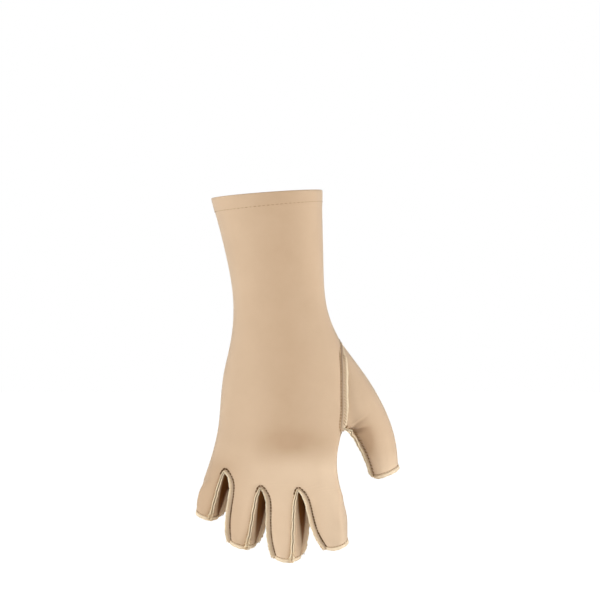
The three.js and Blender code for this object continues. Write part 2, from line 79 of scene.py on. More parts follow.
camera_data = bpy.data.cameras.new("photo_camera")
camera_data.sensor_width = 36
camera_data.lens = camera_data.sensor_width * CAMERA_DISTANCE / FRAME_WIDTH
camera = bpy.data.objects.new("photo_camera", camera_data)
aim(camera, FRAME_CENTRE + Vector((0, -CAMERA_DISTANCE, 0)), FRAME_CENTRE)
scene.camera = camera
print("lens in mm:", round(camera_data.lens, 1))

# %% [markdown]
# ## Floor and light
#
# The glove hangs in soft white light. The surroundings are white to the eye, but they light it more
# from the front than from behind, so that the gaps between the fingers stay dark. Two tall soft
# boxes make the sides brighter than the middle of the back, a low one lifts the knuckles and
# fingers, and one at the rear lights the palm side. Sunlight would be too hard for this even look.
# The floor is pale and lies well below, so no shadow falls into the frame.

# %% Helpers for node trees
def add(tree, kind, **settings):
    node = tree.nodes.new(kind)
    for name, value in settings.items():
        setattr(node, name, value)
    return node


def math_node(tree, operation, first, second=None):
    """A maths node with numbers or sockets as its inputs, and its result."""
    node = add(tree, "ShaderNodeMath", operation=operation)
    for socket, value in zip(node.inputs, (first, second)):
        if isinstance(value, (int, float)):
            socket.default_value = value
        elif value is not None:
            tree.links.new(value, socket)
    return node.outputs[0]


print("helpers ready")

# %% White surroundings
FRONT_LIGHT, BACK_LIGHT = 0.22, 0.12

world = bpy.data.worlds.new("white_studio")
world.use_nodes = True
scene.world = world
sky = world.node_tree
sky.nodes.clear()
way = add(sky, "ShaderNodeSeparateXYZ")
sky.links.new(add(sky, "ShaderNodeTexCoord").outputs["Generated"], way.inputs[0])
to_back = math_node(sky, "MULTIPLY", way.outputs["Y"], (BACK_LIGHT - FRONT_LIGHT) / 2)
lit = add(sky, "ShaderNodeBackground")
sky.links.new(math_node(sky, "ADD", to_back, (BACK_LIGHT + FRONT_LIGHT) / 2), lit.inputs["Strength"])
seen = add(sky, "ShaderNodeBackground")
for background in (seen, lit):
    background.inputs["Color"].default_value = (1, 1, 1, 1)
either = add(sky, "ShaderNodeMixShader")
sky.links.new(add(sky, "ShaderNodeLightPath").outputs["Is Camera Ray"], either.inputs[0])
sky.links.new(lit.outputs[0], either.inputs[1])
sky.links.new(seen.outputs[0], either.inputs[2])
sky.links.new(either.outputs[0], add(sky, "ShaderNodeOutputWorld").inputs["Surface"])
scene.view_settings.view_transform = "Standard"
print("light from the front and the back:", FRONT_LIGHT, BACK_LIGHT)

# %% Soft boxes
SOFT_BOXES = {  # place, target, width, height, power in watts
    "left_box": ((-1.45, -0.55, 0.0), (0, 0, -0.13), 0.9, 1.6, 23.5),
    "right_box": ((1.5, -0.55, 0.0), (0, 0, -0.13), 0.9, 1.6, 25.0),
    "low_box": ((0.1, -1.0, -0.36), (0.01, 0, -0.22), 1.0, 0.3, 3.5),
    "rear_box": ((-0.1, 1.7, 0.15), (0, 0, -0.13), 1.4, 1.4, 20.0),
}
for name, (place, target, width, height, power) in SOFT_BOXES.items():
    light = bpy.data.lights.new(name, "AREA")
    light.shape = "RECTANGLE"
    light.size, light.size_y = width, height
    light.energy = power
    aim(bpy.data.objects.new(name, light), place, target)
print("soft boxes:", len(SOFT_BOXES))

# %% Floor
FLOOR_HEIGHT = -0.52
FLOOR_REACH = 9.0

floor_mesh = bpy.data.meshes.new("floor")
r, h = FLOOR_REACH, FLOOR_HEIGHT
floor_mesh.from_pydata([(-r, -r, h), (r, -r, h), (r, r, h), (-r, r, h)], [], [(0, 1, 2, 3)])
floor = bpy.data.objects.new("floor", floor_mesh)
scene.collection.objects.link(floor)
pale = bpy.data.materials.new("pale_floor")
pale.use_nodes = True
paint = pale.node_tree.nodes["Principled BSDF"]
paint.inputs["Base Color"].default_value = (0.78, 0.77, 0.75, 1)
paint.inputs["Roughness"].default_value = 0.9
paint.inputs["Emission Strength"].default_value = 0.95
eye = add(pale.node_tree, "ShaderNodeLightPath")
pale.node_tree.links.new(eye.outputs["Is Camera Ray"], paint.inputs["Emission Color"])
floor_mesh.materials.append(pale)
print("floor at", FLOOR_HEIGHT)

# %% [markdown]
# ## The net of the glove
#
# A worn glove is one smooth surface: a tube for the sleeve and hand that parts into four fingers, with
# a thumb set into a hole in its side. Drawing that by hand would never meet the CAD solids, so the
# same short tables that shaped them are used again here, in millimetres. They give a coarse net of
# four-sided faces, which a subdivision surface then rounds. Hand, wrist, fingers, thumb and knuckles
# are always those parts of the glove.

# %% Tables of the sleeve and hand
# down from the mouth, left, right, middle depth, bulge to the back, bulge to the palm, lean, boxiness
SECTIONS = np.array([
    (0, -40.8, 39.7, 0, 34, 34, -0.02, 2.0),
    (18, -36.5, 39.5, 0, 31.5, 31.5, -0.04, 2.05),
    (36, -32.0, 40.1, 0, 28.5, 28.5, -0.07, 2.1),
    (54, -28.1, 40.4, 0, 25.5, 25.5, -0.1, 2.15),
    (70, -25.3, 40.9, 0, 23.5, 23, -0.14, 2.2),
    (84, -24.7, 42.7, 0, 22.5, 22, -0.18, 2.25),
    (97, -24.9, 47.4, 0, 21.5, 22, -0.22, 2.3),
    (108, -27.2, 53.4, -0.3, 20.5, 22.5, -0.25, 2.35),
    (122, -30.9, 56.2, -0.8, 19.5, 22.5, -0.27, 2.4),
    (140, -33.7, 56.4, -1.4, 18.5, 21.5, -0.29, 2.5),
    (158, -35.2, 56.6, -2.2, 17.5, 19.5, -0.31, 2.6),
    (172, -36.6, 53.9, -2.8, 16.8, 17.5, -0.33, 2.6),
    (184, -39.0, 48.6, -4.0, 15.4, 14.5, -0.34, 3.0),
    (196, -43.2, 48.4, -4.4, 13.6, 12.4, -0.36, 3.0),
    (208, -47.6, 52.6, -4.0, 11.8, 10.6, -0.38, 3.0),
    (226, -53.0, 56.0, -3.0, 10.2, 9.5, -0.38, 3.0),
])
CUFF_DEPTH = 10.0
CUFF_TILT, CUFF_TILT_REACH = 0.073, 70
HAND_ROWS = [22, 36, 52, 68, 83, 99, 116, 123, 130, 137, 145, 153, 160, 167]
HOLE_TOP_ROW, HOLE_ARCH = 116, 10
ROWS_TO_FINGERS = 3
FACE, SIDE, HOLE_PALM = 4, 4, 2  # columns of a finger's back, of its side, and of the hole on the palm
print("sections:", len(SECTIONS), "rows:", len(HAND_ROWS))

# %% Tables of the fingers and thumb
# place across the hand from -1 to 1 and depth of the line where the fingers part
BACK_EDGES = [(-0.93, 203), (-0.71, 198), (-0.145, 209.5), (0.384, 210), (0.95, 212)]
PALM_EDGES = [(-0.9, 207), (-0.42, 213), (0.11, 221), (0.57, 217), (0.95, 213)]
# middle of the open end (x, y, down), diameter there, width and depth half way, roll, bow, root
FINGERS = {
    "little": ((-43.8, 18, 230.7), 16.8, 16.5, 17, 34, 1.5, -4),
    "ring": ((-17.8, 12, 250.4), 19.4, 21.5, 20, 33, 2, 4),
    "middle": ((14.6, 3, 259.2), 19.2, 22, 20.5, 33, 2.5, 2.4),
    "index": ((49.0, -6, 249.4), 17.8, 23.2, 19, 16, 2, 1.5),
}
NAMES = list(FINGERS)
FINGER_ROWS = [0.03, 0.08, 0.16, 0.26, 0.38, 0.52, 0.68, 0.84, 1]
FINGER_BLEND, FINGER_TAPER, FINGER_SQUARE, CORNER = 0.5, 0.55, 6, 45
# middle (x, y, down), width, depth, tilt, flex
THUMB_MIDDLE = ((82.2, -5, 167), 32, 36.5, 33, 2)
THUMB_END = ((84.9, -3, 198.3), 19.4, 19.4, 22, -10)
THUMB_ROWS = [0.1, 0.22, 0.34, 0.46, 0.58, 0.72, 0.86, 1]
THUMB_CORNERS = [-172, -35, 35, 150, 188]
print("fingers:", ", ".join(NAMES))

# %% Points of the hand
slopes = np.diff(SECTIONS[:, 1:], axis=0) / np.diff(SECTIONS[:, 0])[:, None]
tangents = np.vstack([slopes[:1], (slopes[:-1] + slopes[1:]) / 2, slopes[-1:]])


def section_at(down):
    """The section at a depth, on a smooth curve through the table's rows."""
    depths = SECTIONS[:, 0]
    k = int(np.clip(np.searchsorted(depths, down, "right") - 1, 0, len(depths) - 2))
    step = depths[k + 1] - depths[k]
    t = min(max((down - depths[k]) / step, 0), 1)
    start, end = SECTIONS[k, 1:], SECTIONS[k + 1, 1:]
    return (
        (2 * t**3 - 3 * t**2 + 1) * start
        + (3 * t**2 - 2 * t**3) * end
        + step * ((t**3 - 2 * t**2 + t) * tangents[k] + (t**3 - t**2) * tangents[k + 1])
    )


def signed_power(value, power):
    return math.copysign(abs(value) ** power, value)


def hand_point(down, angle):
    """A point round the hand: angle 0 is the thumb side, and negative angles are the back."""
    left, right, mid, back, palm, lean, square = section_at(down)
    offset = (right - left) / 2 * signed_power(math.cos(angle), 2 / square)
    bulge = (back if angle < 0 else palm) * signed_power(math.sin(angle), 2 / square)
    x = (left + right) / 2 + offset
    tilt = CUFF_TILT * max(0, 1 - down / CUFF_TILT_REACH) ** 2
    return np.array((x, mid + lean * offset + bulge, tilt * x - down))


print("a point on the back of the wrist:", hand_point(84, -math.pi / 2).round(1))

# %% Columns round the hand
def angle_across(across, down, side):
    return side * math.acos(signed_power(across, section_at(down)[-1] / 2))


def hand_columns():
    """Each column's angle at a depth, and its depth on the line where the fingers part."""
    columns = []
    faces = ((-1, BACK_EDGES, PALM_EDGES[::-1]), (1, PALM_EDGES[::-1], BACK_EDGES))
    for side, edges, beyond in faces:
        for (a, a_end), (b, b_end) in zip(edges, edges[1:]):
            for share in np.arange(FACE) / FACE:
                across = a + (b - a) * share
                angle = lambda down, c=across, s=side: angle_across(c, down, s)
                columns.append((angle, a_end + (b_end - a_end) * share))
        (last, last_end), (first, first_end) = edges[-1], beyond[0]
        for share in np.arange(SIDE) / SIDE:
            def turn(down, s=side, a=last, b=first, k=share):
                start, end = angle_across(a, down, s), angle_across(b, down, -s)
                angle = start + ((end + 2 * math.pi if end < start else end) - start) * k
                return angle - 2 * math.pi if angle > math.pi else angle
            columns.append((turn, last_end + (first_end - last_end) * share))
    return columns


COLUMNS = hand_columns()
print("columns round the hand:", len(COLUMNS))

# %% Rows of the hand
points = []  # places of the net's points, in millimetres
fall = []  # how far down the knit each point lies, for its weave
faces = []  # panel, four points, and their places across the knit
PANELS = ["hand_panel", "thumb_panel", *(f"fourchette_{a}_{b}" for a, b in zip(NAMES, NAMES[1:]))]
BACK_TOTAL = FACE * len(NAMES)
HOLE_BACK, HOLE_FRONT = BACK_TOTAL, BACK_TOTAL + SIDE + HOLE_PALM
HOLE_TOP, HOLE_BOTTOM = HAND_ROWS.index(HOLE_TOP_ROW) + 1, len(HAND_ROWS)


def add_point(place, down):
    points.append(np.array(place, float))
    fall.append(down)
    return len(points) - 1


def arch_lift(j, down):
    """How far a column is lifted above the thumb hole, so that the hole's top edge is an arch."""
    share = (j - HOLE_BACK) / (HOLE_FRONT - HOLE_BACK)
    if not 0 < share < 1 or down > HOLE_TOP_ROW:
        return 0
    near = max(0, 1 - (HOLE_TOP_ROW - down) / (4 * HOLE_ARCH))
    return HOLE_ARCH * math.sin(math.pi * share) * near


def hand_row(depth_of):
    row = []
    for j, (angle, end) in enumerate(COLUMNS):
        down = depth_of(j, end)
        row.append(add_point(hand_point(down, angle(down)), down))
    return row


hand_rows = [hand_row(lambda j, end: CUFF_DEPTH + 0.3)]
for down in HAND_ROWS:
    hand_rows.append(hand_row(lambda j, end: down - arch_lift(j, down)))
for k in range(1, ROWS_TO_FINGERS + 1):
    hand_rows.append(hand_row(lambda j, end: HAND_ROWS[-1] + (end - HAND_ROWS[-1]) * k / ROWS_TO_FINGERS))
finger_line = hand_rows[-1]
print("hand rows:", len(hand_rows))

# %% Faces of the hand
def steps_along(line):
    """Distances from each point of a line to the next."""
    return np.linalg.norm(np.diff(line, axis=0), axis=1)


def girth_of(ids):
    return float(steps_along([points[i] for i in ids + ids[:1]]).sum())


def place_across(j, girth):
    return (j - BACK_TOTAL / 2) / len(COLUMNS) * girth


girths = [girth_of(row) for row in hand_rows]
for i, (upper, lower) in enumerate(zip(hand_rows, hand_rows[1:])):
    for j in range(len(COLUMNS)):
        if HOLE_TOP <= i < HOLE_BOTTOM and HOLE_BACK <= j < HOLE_FRONT:
            continue
        n = (j + 1) % len(COLUMNS)
        at_corners = ((i, j), (i + 1, j), (i + 1, j + 1), (i, j + 1))
        across = [place_across(column, girths[row]) for row, column in at_corners]
        faces.append((0, (upper[j], lower[j], lower[n], upper[n]), across))
print("hand faces:", len(faces), "girth at the knuckles:", round(girths[-2]), "mm")

# %% Rings round a finger
def bezier(start, bend, end, t):
    return (1 - t) ** 2 * start + 2 * t * (1 - t) * bend + t**2 * end


def heading(start, bend, end, t):
    way = (1 - t) * (bend - start) + t * (end - bend)
    return way / np.linalg.norm(way)


def finger_axes(roll, along):
    """Directions towards a finger's thumb side and out of its back, square to its run."""
    turn = math.radians(roll)
    across = np.array((math.cos(turn), -math.sin(turn), 0))
    across -= along * (across @ along)
    across /= np.linalg.norm(across)
    return across, np.cross(along, across)


def ring_point(centre, axes, width, depth, square, angle):
    across = width / 2 * signed_power(math.cos(angle), 2 / square)
    out = depth / 2 * signed_power(math.sin(angle), 2 / square)
    return centre + axes[0] * across + axes[1] * out


def corner_angles(corners, counts):
    spans = zip(corners, corners[1:], counts)
    return [math.radians(a + (b - a) * k / n) for a, b, n in spans for k in range(n)]


FINGER_COUNTS = [FACE, SIDE, FACE, SIDE]
FINGER_ANGLES = corner_angles([180 - CORNER, CORNER, -CORNER, CORNER - 180, -180 - CORNER], FINGER_COUNTS)
print("axes of an unrolled finger:", finger_axes(0, np.array((0, 0, -1.0))))

# %% Where the fingers start
def web_between(g):
    """Points of the web between two fingers, from the back to the palm."""
    back = finger_line[(g + 1) * FACE]
    palm = finger_line[BACK_TOTAL + SIDE + BACK_TOTAL - (g + 1) * FACE]
    inner = []
    for share in np.arange(1, SIDE) / SIDE:
        place = points[back] + (points[palm] - points[back]) * share
        inner.append(add_point(place, fall[back] + (fall[palm] - fall[back]) * share))
    return [back, *inner, palm]


def finger_base(f, webs):
    count = len(COLUMNS)
    stretch = lambda start, length: [finger_line[(start + k) % count] for k in range(length)]
    palm_start = BACK_TOTAL + SIDE
    thumb_side = webs[f][:-1] if f < len(webs) else stretch(BACK_TOTAL, SIDE)
    outer_side = webs[f - 1][:0:-1] if f > 0 else stretch(palm_start + BACK_TOTAL, SIDE)
    palm = stretch(palm_start + (len(NAMES) - 1 - f) * FACE, FACE)
    return stretch(f * FACE, FACE) + thumb_side + palm + outer_side


webs = [web_between(g) for g in range(len(NAMES) - 1)]
print("webs between fingers:", len(webs), "points round a finger:", len(finger_base(0, webs)))


# %% From the hand's outline to the finger's
def finger_blend(f, m, share):
    """How far a column has come to the finger's outline: soon at the seams, slowly elsewhere."""
    reach = min(1, share / FINGER_BLEND)
    sides = [FACE] * (f < len(NAMES) - 1) + [2 * FACE + SIDE] * (f > 0)
    away = []
    for side in sides:
        past = (m - side) % len(FINGER_ANGLES)
        away.append(0 if past <= SIDE else min(past - SIDE, len(FINGER_ANGLES) - past))
    near = max(0, 1 - min(away) / (FACE / 2))
    slow = reach * reach * (3 - 2 * reach)
    return slow + (1 - (1 - reach) ** 5 - slow) * near


def finger_rows(f, webs):
    (x, y, down), end_size, width, depth, roll, bow, root = FINGERS[NAMES[f]]
    base = finger_base(f, webs)
    across, out = finger_axes(roll, np.array((0, 0, -1.0)))
    start = points[base[FACE // 2]] - out * depth / 2 + across * root
    end = np.array((x, y, -down))
    run = (start, (start + end) / 2 + out * bow, end)
    length = steps_along([bezier(*run, t) for t in np.linspace(0, 1, 201)]).sum()
    places = [float((points[i] - start) @ heading(*run, 0)) / length for i in base]
    offsets = [points[i] - bezier(*run, t) for i, t in zip(base, places)]
    rows = [base]
    for share in FINGER_ROWS:
        row = []
        for m, (place, offset) in enumerate(zip(places, offsets)):
            t = place + (1 - place) * share
            taper = max(0, (t - FINGER_TAPER) / (1 - FINGER_TAPER)) ** 1.5
            size = [s + (end_size - s) * taper for s in (width, depth)]
            square = FINGER_SQUARE + (2 - FINGER_SQUARE) * taper
            centre = bezier(*run, t)
            axes = finger_axes(roll, heading(*run, max(0, t)))
            ring = ring_point(centre, axes, *size, square, FINGER_ANGLES[m])
            loose = centre + offset
            blended = loose + (ring - loose) * finger_blend(f, m, share)
            row.append(add_point(blended, fall[base[m]] + (t - place) * length))
        rows.append(row)
    return rows, heading(*run, 1)


fingers = [finger_rows(f, webs) for f in range(len(NAMES))]
print("finger rows:", [len(rows) for rows, _ in fingers], "points:", len(points))

# %% Faces of the fingers
KNIT_BLEND_ROWS = 4  # rows over which a finger's weave leaves the hand's


def finger_panel(f, m):
    if FACE <= m < FACE + SIDE and f < len(NAMES) - 1:
        return 2 + f
    if m >= 2 * FACE + SIDE and f > 0:
        return 1 + f
    return 0


def knit_place(f, m, i, row):
    """Where a finger's column lies across the knit, in its own part of the weave."""
    middle, half = f * FACE + FACE // 2, FACE // 2
    if f == len(NAMES) - 1 and m > half:  # the outer side of the index finger
        column, past = BACK_TOTAL + SIDE // 2, m - FACE - SIDE // 2
    elif m <= FACE:
        column, past = middle, m - half
    else:
        column, past = 2 * BACK_TOTAL + SIDE - middle, m - FACE - SIDE - half
    at_base = place_across(column + past, girths[-1])
    on_finger = place_across(column, girths[-1]) + past * girth_of(row) / len(row)
    return at_base + (on_finger - at_base) * min(1, i / KNIT_BLEND_ROWS)


for f, (rows, _) in enumerate(fingers):
    count = len(rows[0])
    for i, (upper, lower) in enumerate(zip(rows, rows[1:])):
        for m in range(count):
            n = (m + 1) % count
            corners = ((i, m, upper), (i + 1, m, lower), (i + 1, m + 1, lower), (i, m + 1, upper))
            if finger_panel(f, m):
                start = m // SIDE * SIDE + SIDE / 2
                across = [(column - start) * girth_of(row) / count for _, column, row in corners]
            else:
                across = [knit_place(f, column, step, row) for step, column, row in corners]
            faces.append((finger_panel(f, m), (upper[m], lower[m], lower[n], upper[n]), across))
print("faces so far:", len(faces))

# %% Rows and faces of the thumb
THUMB_LENGTH = 60  # of knit, from the hole to the hem


def thumb_ring(middle, width, depth, tilt, flex):
    turn = Matrix.Rotation(math.radians(-flex), 3, "X") @ Matrix.Rotation(math.radians(-tilt), 3, "Y")
    axes = np.array(turn @ Vector((1, 0, 0))), np.array(turn @ Vector((0, 1, 0)))
    centre = np.array((middle[0], middle[1], -middle[2]))
    return [ring_point(centre, axes, width, depth, 2, a) for a in THUMB_ANGLES], np.cross(axes[1], axes[0])


rise, reach = HOLE_BOTTOM - HOLE_TOP, HOLE_FRONT - HOLE_BACK
THUMB_ANGLES = corner_angles(THUMB_CORNERS, [rise, reach, rise, reach])
hole = [hand_rows[HOLE_BOTTOM - k][HOLE_BACK] for k in range(rise)]
hole += [hand_rows[HOLE_TOP][HOLE_BACK + k] for k in range(reach)]
hole += [hand_rows[HOLE_TOP + k][HOLE_FRONT] for k in range(rise)]
hole += [hand_rows[HOLE_BOTTOM][HOLE_FRONT - k] for k in range(reach)]
middle_ring, _ = thumb_ring(*THUMB_MIDDLE)
end_ring, thumb_along = thumb_ring(*THUMB_END)
thumb_rows = [hole]
for share in THUMB_ROWS:
    row = []
    for start, bend, end in zip(hole, middle_ring, end_ring):
        row.append(add_point(bezier(points[start], bend, end, share), THUMB_LENGTH * share))
    thumb_rows.append(row)
count = len(hole)
for upper, lower in zip(thumb_rows, thumb_rows[1:]):
    top, bottom = girth_of(upper) / count, girth_of(lower) / count
    for m in range(count):
        n = (m + 1) % count
        at_corners = ((m, top), (m, bottom), (m + 1, bottom), (m + 1, top))
        across = [(column - count / 2) * width for column, width in at_corners]
        faces.append((1, (upper[m], lower[m], lower[n], upper[n]), across))
print("net:", len(points), "points,", len(faces), "faces")

# %% [markdown]
# ## Fairing the net
#
# Where panels meet, the raw net has kinks that stretched cloth would never show. Averaging every
# point with its neighbours rounds them but shrinks the tubes, so each smoothing step is followed by
# a slightly stronger step back. Open ends, finger seams and the back of the thumb seam stay in place.
# Then a few shallow hollows are pressed in, where the cloth sinks between the knuckles.

# %% Fair the net
FAIRING_PASSES, SMOOTH, SWELL = 10, 0.5, -0.52
FINGER_SEAMS = (0, FACE, FACE + SIDE, 2 * FACE + SIDE)  # columns of a finger that carry its seams


def sides_of(quads):
    """The sides of four-sided faces, as pairs of points."""
    return np.concatenate([quads[:, [k, (k + 1) % 4]] for k in range(4)])


places = np.array(points)
corners = np.array([ids for _, ids, _ in faces])
edges = np.unique(np.sort(sides_of(corners), axis=1), axis=0)
pinned = {i for row in [hand_rows[0], *(rows[-1] for rows, _ in fingers), thumb_rows[-1]] for i in row}
pinned |= {row[m] for rows, _ in fingers for row in rows for m in FINGER_SEAMS}
pinned |= set(hole[: rise + 1])
degree = np.bincount(edges.ravel(), minlength=len(places))[:, None]
free = np.array([i not in pinned for i in range(len(places))]) & (degree[:, 0] > 0)
for step in [SMOOTH, SWELL] * FAIRING_PASSES:
    mean = np.zeros_like(places)
    np.add.at(mean, edges[:, 0], places[edges[:, 1]])
    np.add.at(mean, edges[:, 1], places[edges[:, 0]])
    places = np.where(free[:, None], places + (mean / np.maximum(degree, 1) - places) * step, places)
print("pinned points:", len(pinned))

# %% Hollows between the knuckles and at the thumb's crotch
HOLLOWS = [  # x, down, radius, depth
    (-15, 184, 11, 0.9),
    (5.4, 176, 13, 1.2),
    (30.6, 178, 13, 1.2),
    (62.5, 170, 6.5, 1.3),
]


def net_normals():
    """Outward directions at the net's points, each face weighed by its angle there."""
    a, b, c, d = (places[corners[:, k]] for k in range(4))
    across = np.cross(c - a, d - b)
    across /= np.linalg.norm(across, axis=1)[:, None]
    normals = np.zeros_like(places)
    for k in range(4):
        before = places[corners[:, k - 1]] - places[corners[:, k]]
        after = places[corners[:, (k + 1) % 4]] - places[corners[:, k]]
        cosine = (before * after).sum(1) / np.linalg.norm(before, axis=1) / np.linalg.norm(after, axis=1)
        angle = np.arccos(np.clip(cosine, -1, 1))
        np.add.at(normals, corners[:, k], across * angle[:, None])
    return normals / np.maximum(np.linalg.norm(normals, axis=1), 1e-9)[:, None]


outward = net_normals()
for x, down, radius, depth in HOLLOWS:
    near = np.hypot(places[:, 0] - x, places[:, 2] + down) / radius
    dip = np.where((near < 1) & (outward[:, 1] <= 0), depth * (1 - np.minimum(near, 1) ** 2) ** 2, 0)
    places = places - outward * dip[:, None]
used = places[np.unique(corners)]
print("net box in mm:", used.min(0).round(1), used.max(0).round(1))

# %% [markdown]
# ## Seam lines
#
# Each seam follows a row of the net's points. Marking those edges with a full crease makes the
# subdivision surface keep a fold there, as sewn cloth does, and turns the row into a plain cubic
# spline. The same spline then carries the seam's lips and its thread, so they can't drift off.

# %% Seam lines on the net
seams = {}  # name: points of the net, and whether the line is closed
named_rows = [(name, rows) for name, (rows, _) in zip(NAMES, fingers)]
for (a, left), (b, right) in zip(named_rows, named_rows[1:]):
    for face, near, far in (("back", FACE, 0), ("palm", FACE + SIDE, 2 * FACE + SIDE)):
        course = [row[near] for row in reversed(left)] + [row[far] for row in right[1:]]
        seams[f"seam_{face}_{a}_{b}"] = (course, False)
seams["seam_thumb_base"] = (hole, True)
seams["seam_thumb_inner"] = ([row[0] for row in thumb_rows], False)
creased = set()
for line, closed in seams.values():
    creased |= {frozenset(pair) for pair in zip(line, line[1:] + line[:1] * closed)}
print("seams:", len(seams), "creased edges:", len(creased))


# %% Splines along rows of points
def run_on(line):
    """An open line with one more point straight on at each end."""
    return np.vstack([2 * line[0] - line[1], line, 2 * line[-1] - line[-2]])


def spline(control, closed, per_span=12):
    """A cubic spline drawn by control points, as a creased edge is by the subdivision surface."""
    control = np.asarray(control, float)
    if closed:
        control = np.vstack([control[-1:], control, control[:2]])
    else:
        control = run_on(control)
    t = (np.arange(per_span) / per_span)[:, None]
    weights = [(1 - t) ** 3, 3 * t**3 - 6 * t**2 + 4, -3 * t**3 + 3 * t**2 + 3 * t + 1, t**3]
    fours = [control[k : k + 4] for k in range(len(control) - 3)]
    spans = [sum(w * p for w, p in zip(weights, four)) / 6 for four in fours]
    if not closed:
        spans.append((control[-3] + 4 * control[-2] + control[-1])[None] / 6)
    return np.vstack(spans)


def distance_along(line):
    """How far along a line each of its points lies."""
    return np.concatenate([[0], np.cumsum(steps_along(line))])


def evenly(line, step, closed):
    """The line again with points a step apart, and how far along it each one lies."""
    line = np.vstack([line, line[:1]]) if closed else line
    along = distance_along(line)
    count = max(4, round(along[-1] / step))
    at = np.linspace(0, along[-1], count + 1)[: count if closed else None]
    return np.stack([np.interp(at, along, line[:, k]) for k in range(3)], axis=1), at


seam_lines = {name: spline(places[line], closed) for name, (line, closed) in seams.items()}
total = sum(steps_along(line).sum() for line in seam_lines.values())
print("length of all seams:", round(total), "mm")

# %% [markdown]
# ## Cloth panels
#
# The knit is thin, smooth and stretched, so a cloth simulation would add nothing: the tables already
# hold its worn shape. The net becomes a Catmull-Clark subdivision surface, once for the broad hand
# and once finer for the small panels. Each is cut into panels by the number in its faces' slots.

# %% The net as a Blender mesh
def net_mesh():
    """The net with its panels as material slots, its knit map and its creased seams."""
    mesh = bpy.data.meshes.new("net")
    mesh.from_pydata((places * MM).tolist(), [], corners.tolist())
    mesh.polygons.foreach_set("material_index", [panel for panel, _, _ in faces])
    weave = mesh.uv_layers.new(name="knit")
    uv = [(u * MM, -fall[i] * MM) for _, ids, across in faces for i, u in zip(ids, across)]
    weave.uv.foreach_set("vector", np.array(uv, np.float32).ravel())
    crease = mesh.attributes.new("crease_edge", "FLOAT", "EDGE")
    crease.data.foreach_set("value", [float(frozenset(e.vertices) in creased) for e in mesh.edges])
    for name in PANELS:
        mesh.materials.append(bpy.data.materials.get(name) or bpy.data.materials.new(name))
    return mesh


print("panels:", ", ".join(PANELS))


# %% Round the net
BROAD_LEVEL, FINE_LEVEL = 2, 3


def read(collection, field, width, kind=np.float32):
    """One field of many points or faces, as an array."""
    values = np.zeros(len(collection) * width, kind)
    collection.foreach_get(field, values)
    return values.reshape(-1, width) if width > 1 else values


def surface_at(level):
    """The subdivided net as arrays, with its places in millimetres."""
    net = bpy.data.objects.new("net", net_mesh())
    scene.collection.objects.link(net)
    rounding = net.modifiers.new("rounding", "SUBSURF")
    rounding.levels = rounding.render_levels = level
    rounding.uv_smooth = "NONE"
    mesh = bpy.data.meshes.new_from_object(net.evaluated_get(bpy.context.evaluated_depsgraph_get()))
    surface = {
        "places": read(mesh.vertices, "co", 3).astype(float) / MM,
        "normals": read(mesh.vertex_normals, "vector", 3).astype(float),
        "faces": read(mesh.loops, "vertex_index", 1, np.int32).reshape(-1, 4),
        "panel": read(mesh.polygons, "material_index", 1, np.int32),
        "knit": read(mesh.uv_layers["knit"].uv, "vector", 2).reshape(-1, 4, 2),
    }
    base = net.data
    bpy.data.objects.remove(net)
    bpy.data.meshes.remove(base)
    bpy.data.meshes.remove(mesh)
    return surface


broad_surface, fine_surface = surface_at(BROAD_LEVEL), surface_at(FINE_LEVEL)
print("points of the broad and fine surfaces:", len(broad_surface["places"]), len(fine_surface["places"]))

# %% [markdown]
# ## Folds in the cloth
#
# Two things shape the smooth cloth a little more. Sewing draws it in along every seam, and
# where it is pushed together it folds: two soft pleats at the thumb's crotch and small creases on
# two fingers. Sculpting could draw them, but not alike on the broad and the fine surface. Here they
# are small moves along the normals: a trough along a seam line, and a ridge with a valley under it.

# %% Distance from the seams
SEAM_STEP = 0.8


def point_tree(points, numbers):
    """A search tree of places, each with its number."""
    tree = KDTree(len(points))
    for place, number in zip(points, numbers):
        tree.insert(place, number)
    tree.balance()
    return tree


seam_trees = {}
for kind in ("seam_", "seam_back", "seam_palm"):
    chosen = [name for name in seams if name.startswith(kind)]
    dots = np.vstack([evenly(seam_lines[name], SEAM_STEP, seams[name][1])[0] for name in chosen])
    seam_trees[kind] = point_tree(dots, range(len(dots)))
    print("points along", kind, len(dots))


def seam_distance(at, kind="seam_"):
    """How far each place is from the nearest seam whose name starts so."""
    return np.array([seam_trees[kind].find(place)[2] for place in at])


# %% Press the folds in
SEAM_DRAW, SEAM_DRAW_WIDTH = 0.45, 2.6  # how far and how wide the stitching draws the cloth in
PLEATS = [  # from x, down to x, down; width; height of the ridge; depth of the valley under it
    (57.3, 168.8, 73.0, 156.4, 1.8, 0.6, 1.2),
    (57.7, 169.1, 74.0, 165.6, 2.6, 1.1, 2.1),
    (-23.0, 217.5, -15.5, 218.2, 1.2, 0.15, 0.4),
    (15.5, 243.0, 21.0, 242.0, 1.2, 0.12, 0.35),
]
PLEAT_PEAK, PLEAT_REACH, PLEAT_FADE = 0.25, 0.85, 1.2  # where a pleat is strongest, and how it runs out
RIDGE_SIDE, RIDGE_SHARPNESS, VALLEY_SHARPNESS = 0.55, 2.2, 1.6  # beside its line, in widths


